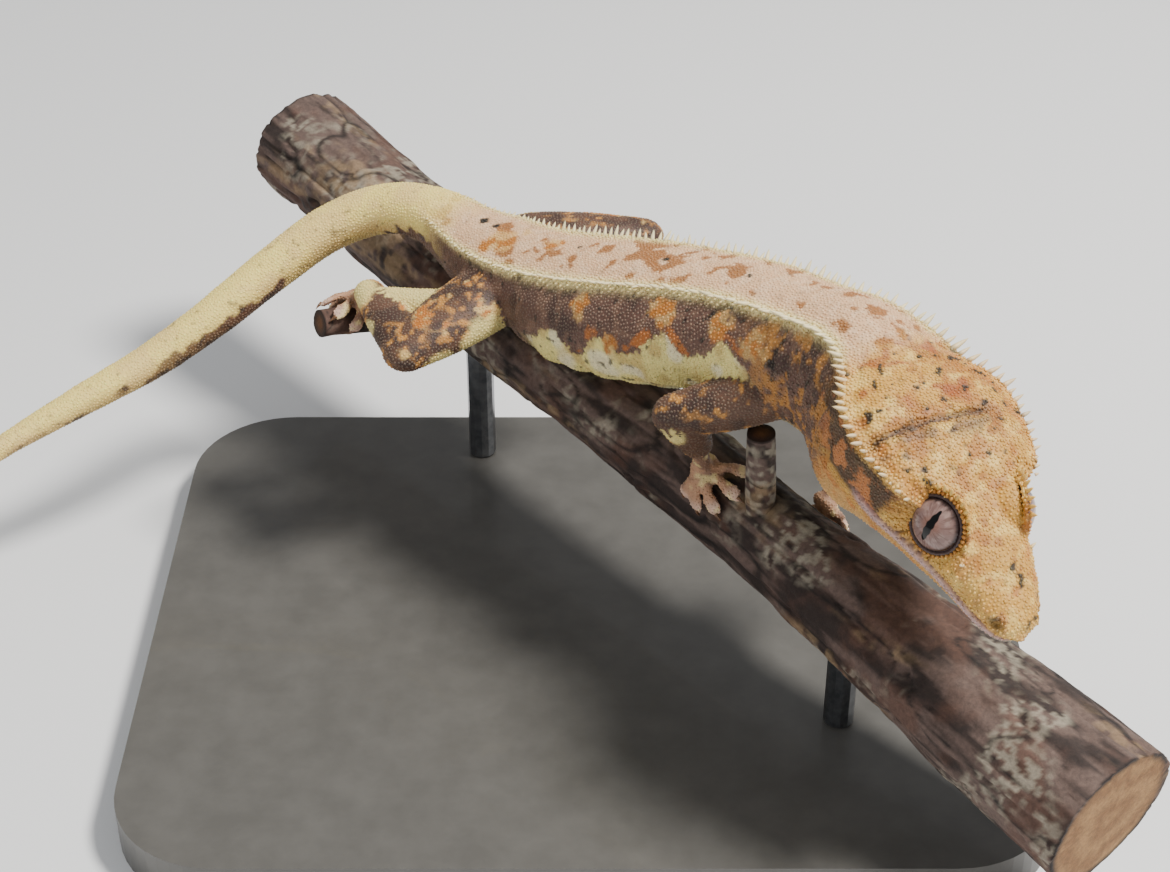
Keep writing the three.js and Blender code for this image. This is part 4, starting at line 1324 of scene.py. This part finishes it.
def beside(out):
    """Two directions square to each outward direction."""
    helper = np.where(np.abs(out[:, 2:]) < 0.8, UP, np.array([1.0, 0, 0]))
    first = unit(np.cross(out, helper))
    return first, np.cross(out, first)


def domes(name, roots, out, facts, width, height, colours, seed):
    """Low closed domes, joined into one mesh."""
    random = np.random.default_rng(seed)
    count = len(roots)
    first, second = beside(out)
    k = np.arange(DOME_SIDES)
    corner = k * 2 * np.pi / DOME_SIDES
    turn = random.random(count)[:, None] * 2 * np.pi + corner
    reach = width[:, None] * (0.85 + 0.3 * random.random((count, DOME_SIDES)))
    ring = (
        roots[:, None] - out[:, None] * DOME_SINK
        + first[:, None] * (np.cos(turn) * reach)[..., None]
        + second[:, None] * (np.sin(turn) * reach)[..., None]
    )
    top = roots + out * height[:, None]
    points = np.concatenate([ring, top[:, None]], 1).reshape(-1, 3)
    total = DOME_SIDES + 1
    start = np.arange(count)[:, None] * total
    tops = np.broadcast_to(start + DOME_SIDES, (count, DOME_SIDES))
    sides = np.stack([start + k, start + (k + 1) % DOME_SIDES, tops], -1)
    data = mesh_of(name, points, [sides.reshape(-1, 3), start + k[::-1]])
    paint_points(data, np.repeat(colours, total, 0))
    spots = BAKE_PATCH * np.stack([np.cos(corner), np.sin(corner)], -1)
    spots = np.vstack([spots, [[0, 0]]])
    set_bake_map(data, (unwrap(facts)[:, None] + spots).reshape(-1, 2))
    return add_object(name, data)


CREST_END = 116
grain_random = np.random.default_rng(11)
tone = 0.88 + 0.3 * grain_random.random(len(roots))[:, None]
grain_colour = np.clip(markings(roots, root_facts) * tone, 0, 1)
# Each granule is made a little paler than the skin under it: a painted highlight on the raised scales.
grain_colour = mix(grain_colour, IVORY, np.full(len(roots), 0.06))
kind, place, angle, _ = root_facts.T
grain_width = np.where(kind >= PALM, 0.2, 0.27)
grain_height = np.where(kind == BODY, GRANULE_HIGH(place), 0.11)
on_crest = bell(up_the_side(angle) - crest_angle(place), 0.13) * (kind == BODY)
on_crest *= (place > 17) & (place < CREST_END)
grain_width = grain_width + 0.07 * on_crest * (grain_random.random(len(roots)) > 0.5)
grain_height = grain_height + 0.2 * on_crest * grain_random.random(len(roots))
scale_material = marked_material("gecko_scale", 0.5, 0.3)
PER_PIECE = 18000
for number in range(math.ceil(len(roots) / PER_PIECE)):
    part = slice(number * PER_PIECE, (number + 1) * PER_PIECE)
    piece = domes("gecko_granules_%d" % (number + 1), roots[part], root_out[part],
                  root_facts[part], grain_width[part], grain_height[part],
                  grain_colour[part], 20 + number)
    piece.data.materials.append(scale_material)
    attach(piece, "root")
    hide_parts(*FLESH)
    print(piece.name, len(piece.data.polygons), "faces")

# %% [markdown]
# The crests are rows of soft pointed scales, from the brow over the head's rear corner
# and down both sides of the back to the hips. Each is a six-sided cone that leans back.
# They are longest behind the head and alternate a little, as grown rows do.

# %% Crest spines
CREST_START = 9.0
SPINE_PITCH = 1.02
SPINE_SIDES = 6


def cones(name, roots, out, tips, width, colours, facts):
    """Closed soft cones with a waist, joined into one mesh."""
    count = len(roots)
    first, second = beside(out)
    k = np.arange(SPINE_SIDES)
    turn = k * 2 * np.pi / SPINE_SIDES
    circle = (
        first[:, None] * np.cos(turn)[None, :, None]
        + second[:, None] * np.sin(turn)[None, :, None]
    )
    rings = []
    for share, size in ((-0.12, 1.0), (0.3, 0.85), (0.7, 0.5)):
        middle = roots + (tips - roots) * share
        rings.append(middle[:, None] + circle * (width * size)[:, None, None])
    points = np.concatenate(rings + [tips[:, None]], 1)
    total = 3 * SPINE_SIDES + 1
    start = np.arange(count)[:, None] * total
    low, low_after = start + k, start + (k + 1) % SPINE_SIDES
    faces = [
        np.stack([low + r, low_after + r, low_after + r + SPINE_SIDES, low + r + SPINE_SIDES], -1)
        for r in (0, SPINE_SIDES)
    ]
    last = 2 * SPINE_SIDES
    tops = np.broadcast_to(start + total - 1, (count, SPINE_SIDES))
    faces.append(np.stack([low + last, low_after + last, tops], -1))
    faces = [face.reshape(-1, face.shape[-1]) for face in faces] + [start + k[::-1]]
    data = mesh_of(name, points.reshape(-1, 3), faces)
    paint_points(data, np.repeat(colours, total, 0))
    ring = BAKE_PATCH * np.stack([np.cos(turn), np.sin(turn)], -1)
    spots = np.vstack([ring, ring * 0.7, ring * 0.4, [[0, 0]]])
    set_bake_map(data, (unwrap(facts)[:, None] + spots).reshape(-1, 2))
    return add_object(name, data)


crest_random = np.random.default_rng(5)


def crest_rows():
    places, angles = [], []
    for side in (1, -1):
        place = CREST_START
        while place < CREST_END:
            crest = float(crest_angle(np.array(place)))
            places.append(place)
            angles.append(crest if side > 0 else math.pi - crest)
            place += SPINE_PITCH * (0.9 + 0.2 * crest_random.random())
    return np.array(places), np.array(angles)


crest_places, crest_angles = crest_rows()
crest_roots, crest_out = on_body(crest_places, crest_angles, -SKIN_DEPTH)
eye_gap = [distance(crest_roots, eye["middle"]) for eye in EYES.values()]
clear = np.minimum(*eye_gap) > EYE_RADIUS + 1.1
crest_places, crest_angles = crest_places[clear], crest_angles[clear]
crest_roots, crest_out = crest_roots[clear], crest_out[clear]
crest_roots = crest_roots + crest_out * (RIDGE(crest_places) - 0.15)[:, None]
_, crest_forward, crest_right, _ = body_frame(crest_places)
lengths = SPINE_LENGTH(crest_places) * (0.78 + 0.34 * crest_random.random(len(crest_places)))
lengths *= np.interp(crest_places, [9, 18, 24, 36, 46], [0.7, 0.75, 0.75, 0.85, 1.1])
lengths *= np.where(np.arange(len(crest_places)) % 2, 0.82, 1.08)
sideways = crest_right * np.sign(np.cos(crest_angles))[:, None]
spread = 0.85 + 0.25 * bell(crest_places - 27, 12)[:, None]
jitter = crest_random.normal(0, 0.16, (len(crest_places), 3))
lean = unit(crest_out + spread * sideways - 0.3 * crest_forward + jitter)
crest_tips = crest_roots + lean * lengths[:, None]
crest_facts = np.stack([np.full(len(crest_places), BODY), crest_places, crest_angles,
                        np.full(len(crest_places), -1)], -1)
crest_colour = mix(markings(crest_roots, crest_facts), IVORY, np.full(len(crest_places), 0.55))
crest_piece = cones("gecko_crest", crest_roots, crest_out, crest_tips,
                    0.15 + 0.11 * lengths, crest_colour, crest_facts)
crest_piece.data.materials.append(scale_material)
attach(crest_piece, "root")
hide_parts(*FLESH)
print("crest spines:", len(crest_places))

# %% [markdown]
# The fringe over each eye gives this gecko its name of eyelash gecko.
# The scales of the brow are drawn out there into short soft spines, so the same cones
# are used, set along the brow and pointed outward.

# %% Lashes over the eyes
LASH_TURNS = np.radians([-38, -26, -14, -2, 10, 22, 34, 46])
lash_roots, lash_out, lash_tips = [], [], []
for eye in EYES.values():
    for turn in LASH_TURNS:
        away = eye["high"] * math.cos(turn) - eye["fore"] * math.sin(turn)
        ledge = max(0.0, math.cos(turn + 0.1))
        root = eye["middle"] + eye["gaze"] * (1.2 + 0.85 * ledge) + away * (3.95 + 0.3 * ledge)
        lash_roots.append(root)
        lash_out.append(unit(away + 0.8 * eye["gaze"]))
        lash_tips.append(root + lash_out[-1] * (0.5 + 0.55 * ledge))
lash_roots, lash_out, lash_tips = (np.array(v) for v in (lash_roots, lash_out, lash_tips))
lash_facts = places_of(lash_roots)
lash_colour = mix(markings(lash_roots, lash_facts), PALE_GOLD, np.full(len(lash_roots), 0.6))
lashes = cones("gecko_lashes", lash_roots, lash_out, lash_tips,
               np.full(len(lash_roots), 0.28), lash_colour, lash_facts)
lashes.data.materials.append(scale_material)
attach(lashes, "root")
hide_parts("head")
print("lashes:", len(lash_roots))

# %% [markdown]
# The eye is a glossy ball with no lid. Its iris is a pinkish grey web of fine veins with
# a dark rim, and the pupil is an upright slit with wavy edges.
# The pattern is worked out on the ball's own points, so it needs no texture.

# %% Eyes
EYE_ROWS, EYE_COLUMNS = 150, 220
EYE_FLATNESS = 0.88
IRIS_RADIUS = 3.25
PUPIL_TILT = math.radians(-18)
PUPIL_TALL, PUPIL_WIDE = 2.1, 0.46


def eye_ball(name, eye):
    bow = np.linspace(0.012, np.pi - 0.012, EYE_ROWS)[:, None, None]
    turn = np.linspace(0, 2 * np.pi, EYE_COLUMNS, endpoint=False)[None, :, None]
    round_way = eye["high"] * np.cos(turn) + eye["fore"] * np.sin(turn)
    rings = eye["middle"] + EYE_RADIUS * (
        eye["gaze"] * np.cos(bow) * EYE_FLATNESS + round_way * np.sin(bow)
    )
    points, faces = closed_tube(rings[::-1])
    return mesh_of(name, points, faces)


def iris_colour(points, eye):
    away = points - eye["middle"]
    gaze, high, fore = away @ eye["gaze"], away @ eye["high"], away @ eye["fore"]
    around = np.arctan2(fore, high)
    out = np.hypot(high, fore) / IRIS_RADIUS
    flat = np.stack([np.cos(around) * 3, np.sin(around) * 3, out * 0.8], -1)
    tall = high * math.cos(PUPIL_TILT) + fore * math.sin(PUPIL_TILT)
    wide = fore * math.cos(PUPIL_TILT) - high * math.sin(PUPIL_TILT)
    half = PUPIL_WIDE * np.clip(1 - (tall / PUPIL_TALL) ** 2, 0, 1) ** 0.7
    half = half + 0.04 * np.sin(tall * 7)
    pupil = (1 - step(np.abs(wide) - half, -0.03, 0.05)) * (np.abs(tall) < PUPIL_TALL)
    colour = painted(
        even(shade(158, 134, 128), points),
        (shade(176, 154, 146), 0.7 * step(cloud(points, 0.7, 207), 0.45, 0.65)),
        (shade(110, 84, 76), 0.45 * step(noise(flat, 0.16, 200), 0.5, 0.72)),
        (shade(170, 120, 92), 0.3 * bell(out - 0.22, 0.16)),
        (shade(66, 54, 58), 0.95 * step(out, 0.78, 0.9)),
        (shade(6, 5, 5), pupil),
    )
    return np.where((gaze > 0)[:, None], colour, shade(40, 28, 24))


def eye_material():
    nodes = Nodes("gecko_eye")
    nodes.marked(0.4, nodes.ramp(nodes.texture(0.25), (0.3, 0.7), (0.7, 1.0)))
    nodes.set(Roughness=0.1, Specular_IOR_Level=0.3, Coat_Weight=0.2, Coat_Roughness=0.03)
    return nodes.material


glossy = eye_material()
for name, eye in EYES.items():
    data = eye_ball("gecko_eye_" + name, eye)
    paint_points(data, iris_colour(coordinates(data), eye))
    ball = add_object("gecko_eye_" + name, data)
    ball.data.materials.append(glossy)
    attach(ball, "root")
    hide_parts("eye_" + name)
print("eye faces:", len(ball.data.polygons))

# %% [markdown]
# A thin dark lid hugs the ball, and outside it sits one neat row of larger scales.
# Together they give the eye its clean round edge, which granules alone would leave ragged.
# The row is made with the same domes as the rest of the skin.

# %% Lids and the scales round them
LID_SCALES = 40


def lid_parts(eye):
    lid, _, _ = ring_round(eye, 96, 1.12, 0.45, 3.3, -0.14)
    scales, way, _ = ring_round(eye, LID_SCALES, 1.22, 0.84, 3.66, 0.1)
    return round_tube(lid, 0.24), scales, unit(eye["gaze"] + 0.35 * way)


def two_tone(name, lump, dark, light, grain, **finish):
    """A finish of two close colours in soft lumps, over a fine bump."""
    nodes = Nodes(name)
    nodes.colour(nodes.ramp(nodes.texture(lump), dark, light))
    nodes.set(**finish)
    size, detail, strength, depth = grain
    nodes.bump(nodes.texture(size, detail), strength, depth)
    return nodes.material


lid_finish = two_tone("gecko_lid", 0.3, (0.3, shade(74, 58, 56)), (0.7, shade(112, 90, 84)),
                      (0.12, 4.0, 0.3, 0.02), Roughness=0.4)
for name, eye in EYES.items():
    lid_rings, scale_roots, scale_out = lid_parts(eye)
    lid = add_object("gecko_lid_" + name, mesh_of("lid", *ring_tube(lid_rings)))
    lid.data.materials.append(lid_finish)
    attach(lid, "root")
    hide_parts("eye_" + name)
    scale_facts = places_of(scale_roots)
    tint = mix(markings(scale_roots, scale_facts), shade(206, 150, 84), np.full(LID_SCALES, 0.7))
    row = domes("gecko_lid_scales_" + name, scale_roots, scale_out, scale_facts,
                np.full(LID_SCALES, 0.3), np.full(LID_SCALES, 0.22), tint, 60)
    row.data.materials.append(scale_material)
    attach(row, "root")
    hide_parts("head")
print("lid scales:", LID_SCALES, "round each eye")

# %% [markdown]
# Each toe ends in a short claw that hooks down onto the bark. A claw is horn, smooth
# and amber, so it is a piece of its own: a thin curved cone set into the toe's tip.

# %% Claws
CLAW_STATIONS, CLAW_RING = 9, 12


def claw(middle, ahead, out):
    share = np.linspace(0, 1, CLAW_STATIONS)
    line = middle + np.outer(share * 1.15 - 0.2, ahead) + np.outer(0.18 - 0.42 * share ** 2, out)
    side = np.cross(out, ahead)
    turn = np.linspace(0, 2 * np.pi, CLAW_RING, endpoint=False)[:, None]
    radii = 0.26 * (1 - share) ** 0.75 + 0.02
    circle = side * np.cos(turn) + out * np.sin(turn)
    return closed_tube(line[:, None] + circle * radii[:, None, None])


horn = two_tone("gecko_claw", 0.4, (0.3, shade(96, 70, 52)), (0.7, shade(150, 116, 84)),
                (0.1, 4.0, 0.2, 0.02), Roughness=0.3, Coat_Weight=0.3)
for kind in ("arm_right", "arm_left", "leg_right", "leg_left"):
    tubes = [claw(middle, ahead, out) for owner, middle, ahead, out in CLAWS if owner == kind]
    piece = add_object("gecko_claws_" + kind, mesh_of("claws", *joined(tubes)))
    piece.data.materials.append(horn)
    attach(piece, "root")
    limb_name, side_name = kind.split("_")
    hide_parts(("hand_" if limb_name == "arm" else "foot_") + side_name)
print("claws:", len(CLAWS))

# %% [markdown]
# The perch is a cut length of a real branch. Its bark is ridged along the grain, with
# knots, shallow cracks and grey lichen. The ridges are moved points, not just shading,
# so the edge of the branch is rough too. Both ends show sawn wood with its rings.

# %% The branch
BARK_TOP = 0.26
KNOTS = [(30, 70, 2.2, 0.9), (62, 20, 1.8, 0.7), (88, -20, 1.6, 0.8), (120, 110, 2.0, 0.8),
         (140, 30, 2.6, 1.0), (150, 75, 1.7, 0.7), (16, 10, 2.4, 0.8), (104, 12, 1.5, 0.6)]


def along_grain(reach, angle, radius, pull):
    """Points squeezed along the branch, so that noise on them runs with the grain."""
    return np.stack([reach * pull, np.cos(angle) * radius, np.sin(angle) * radius], -1)


def bark_height(points, reach, angle, radius):
    grain = along_grain(reach, angle, radius, 0.22)
    ridges = cloud(grain, 1.5, 300) - 0.5
    lumps = noise(points, 5.0, 310) - 0.5
    crack = bell(noise(grain, 2.6, 320) - 0.5, 0.035)
    pits = step(noise(points, 0.9, 330), 0.72, 0.86)
    return 0.8 * ridges + 0.45 * lumps - 0.34 * crack - 0.14 * pits


def stick_tube(stick, rows, columns, rough, knots=()):
    reach, angle = np.meshgrid(
        np.linspace(0, stick.length, rows), np.linspace(0, 2 * np.pi, columns, endpoint=False),
        indexing="ij")
    reach, angle = reach.ravel(), angle.ravel()
    base, out = stick.surface(reach, angle)
    radius = stick.radius(reach, angle)
    lift = rough * bark_height(base, reach, angle, radius) - 0.18 * rough
    for place, turn, size, tall in knots:
        away = (angle - math.radians(turn) + np.pi) % (2 * np.pi) - np.pi
        far = np.hypot(reach - place, away * radius)
        lift += tall * (0.3 * bell(far - size * 0.8, size * 0.35) - 0.35 * bell(far, size * 0.4))
    return (base + out * np.minimum(lift, BARK_TOP)[:, None]).reshape(rows, columns, 3)


def sawn_end(rings, axis, rows=10):
    """Rings that close a cut end as a flat face."""
    edge = rings[-1]
    middle = edge.mean(0)
    flat = []
    for share in np.linspace(0.97, 0.06, rows):
        ring = middle + (edge - middle) * share
        flat.append(ring - ((ring - middle) @ axis)[:, None] * axis)
    return np.concatenate([rings, np.array(flat)])


def perch_mesh():
    tubes = []
    for stick, rows, columns, rough, knots in (
        (BRANCH, 420, 150, 1.0, KNOTS), (STUB, 60, 48, 0.3, ()), (SNAG, 90, 48, 0.35, ()),
    ):
        rings = sawn_end(stick_tube(stick, rows, columns, rough, knots), stick.along)
        tubes.append(closed_tube(sawn_end(rings[::-1], stick.along)[::-1]))
    return joined(tubes)


perch = add_object("perch_wood", mesh_of("perch_wood", *perch_mesh()))
print("perch faces:", len(perch.data.polygons))

# %% [markdown]
# Old bark is grey brown, red where it has flaked, and dusted with pale lichen, and its carved cracks
# are painted near black as shade. The pattern is squeezed along the grain, so that it runs the way
# wood grows,
# and the sawn ends show rings instead. It is worked out on the mesh's own points.

# %% Bark and wood colours
BARK_DARK = shade(70, 58, 54)
BARK_MID = shade(134, 116, 108)
BARK_RED = shade(128, 98, 84)
LICHEN = shade(186, 178, 162)
LICHEN_TAN = shade(190, 166, 134)
WOOD = shade(196, 160, 116)
WOOD_DARK = shade(146, 106, 70)


def stick_facts(stick, points):
    away = points - stick.start
    reach = away @ stick.along
    across = away - np.outer(reach, stick.along)
    angle = np.arctan2(across @ stick.over, across @ stick.near)
    return reach, angle, np.linalg.norm(across, axis=1)


def sawn_colour(points, reach, far):
    rings = 0.5 + 0.5 * np.sin(far * 5.2 + 1.5 * noise(points, 2.2, 440))
    thick = BRANCH_THICKNESS(reach)
    return painted(
        even(WOOD, points),
        (WOOD_DARK, 0.6 * rings),
        (BARK_DARK, step(far, thick - 1.2, thick - 0.7)),
    )


def bark_colour(points):
    reach, angle, far = stick_facts(BRANCH, points)
    grain = along_grain(reach, angle, far, 0.2)
    lichen = step(cloud(points, 8.0, 420), 0.5, 0.66) * step(noise(points, 0.7, 425), 0.42, 0.66)
    tan = step(cloud(grain, 4.0, 430), 0.55, 0.7) * step(noise(points, 1.2, 435), 0.3, 0.6)
    colour = painted(
        even(BARK_MID, points),
        (BARK_DARK, 0.9 * step(cloud(grain, 1.6, 400), 0.42, 0.62)),
        (BARK_RED, 0.6 * step(cloud(points, 6.0, 410), 0.48, 0.66)),
        (LICHEN, 0.75 * lichen),
        (LICHEN_TAN, 0.55 * tan),
        # The carved cracks are drawn near black: painted shade.
        (shade(34, 26, 24), 0.8 * bell(noise(grain, 2.6, 320) - 0.5, 0.03)),
    )
    for place, turn, size, _ in KNOTS:
        knot, _ = BRANCH.surface(place, math.radians(turn))
        colour = mix(colour, BARK_DARK, 0.9 * bell(distance(points, knot), size * 0.55))
    ends = (reach < 0.3) | (reach > BRANCH.length - 0.3)
    ends &= far < BRANCH_THICKNESS(reach) - 0.1
    colour = np.where(ends[:, None], sawn_colour(points, reach, far), colour)
    for stick in (STUB, SNAG):
        along, _, wide = stick_facts(stick, points)
        cut = (along > stick.length - 0.25) & (wide < 2.6)
        core = mix(even(BARK_DARK, points), WOOD_DARK, 0.8 * bell(wide, 1.1))
        colour = np.where(cut[:, None], core, colour)
    return colour


def bark_material():
    nodes = Nodes("perch_bark")
    nodes.marked(0.85, nodes.ramp(nodes.texture(0.7, 6.0, 0.7), (0.3, 0.45), (0.7, 1.0)))
    nodes.set(Roughness=0.85)
    nodes.bump(nodes.texture(0.35, 5.0, 0.7), 0.6, 0.15)
    return nodes.material


paint_points(perch.data, bark_colour(coordinates(perch.data)))
perch.data.materials.append(bark_material())
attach(perch, "root")
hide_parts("perch")
print("knots on the branch:", len(KNOTS))

# %% [markdown]
# The stand is plain: a painted base with rounded corners and two steel rods.
# These CAD solids are already the right shape, so they only need a better finish.
# Paint gets a faint orange-peel surface, and the steel is a shade uneven, as drawn rod is.

# %% Stand finishes
base_finish = two_tone("base_paint", 6.0, (0.35, shade(112, 110, 106)), (0.65, shade(120, 118, 114)),
                       (0.8, 2.0, 0.08, 0.05), Roughness=0.42, Coat_Weight=0.15)
rod_finish = two_tone("rod_steel", 1.5, (0.35, shade(150, 152, 156)), (0.65, shade(176, 178, 182)),
                      (0.3, 2.0, 0.06, 0.02), Metallic=1.0, Roughness=0.3)
for node_name, finish in (("stand_base", base_finish), ("stand_rod_1", rod_finish),
                          ("stand_rod_2", rod_finish)):
    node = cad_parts[node_name]
    for slot_index in range(len(node.data.materials)):
        node.material_slots[slot_index].material = finish
print("kept CAD solids: stand_base, stand_rod_1, stand_rod_2")

# %% [markdown]
# The model stands on a plain pale floor that fades into a pale background.
# A strong lamp high on the right gives clear shadows that fall to the left, and a wide,
# weak one on the left opens them up. The world adds a little light from every side.

# %% Floor and lights
def pale_material():
    nodes = Nodes("floor_pale")
    nodes.colour(nodes.ramp(nodes.texture(400.0), (0.3, 0.80), (0.7, 0.82)))
    nodes.set(Roughness=0.9)
    return nodes.material


FLOOR_HALF = 1500
corners = np.array([[-1, -1, 0], [1, -1, 0], [1, 1, 0], [-1, 1, 0]]) * FLOOR_HALF
floor = add_object("floor", mesh_of("floor", corners, [np.array([[0, 1, 2, 3]])]), smooth=False)
floor.data.materials.append(pale_material())


def soft_lamp(name, place, aim, size, power, colour):
    data = bpy.data.lights.new(name, "AREA")
    data.shape = "DISK"
    data.size = size
    data.energy = power
    data.color = colour
    lamp = bpy.data.objects.new(name, data)
    bpy.context.scene.collection.objects.link(lamp)
    lamp.location = place
    lamp.rotation_euler = (Vector(aim) - Vector(place)).to_track_quat("-Z", "Y").to_euler()
    return lamp


SUBJECT = (0, 0, 0.045)
WARM, COOL = (1.0, 0.98, 0.94), (0.94, 0.97, 1.0)
soft_lamp("key", (0.3, -0.06, 0.55), SUBJECT, 0.14, 6.6, WARM)
fill = soft_lamp("fill", (-0.45, -0.35, 0.35), SUBJECT, 0.5, 1.3, COOL)
fill.visible_glossy = False
world = bpy.data.worlds.new("pale")
world.use_nodes = True
background = world.node_tree.nodes["Background"]
background.inputs["Color"].default_value = (0.9, 0.92, 0.95, 1)
background.inputs["Strength"].default_value = 0.42
bpy.context.scene.world = world
print("lamps: key, fill")
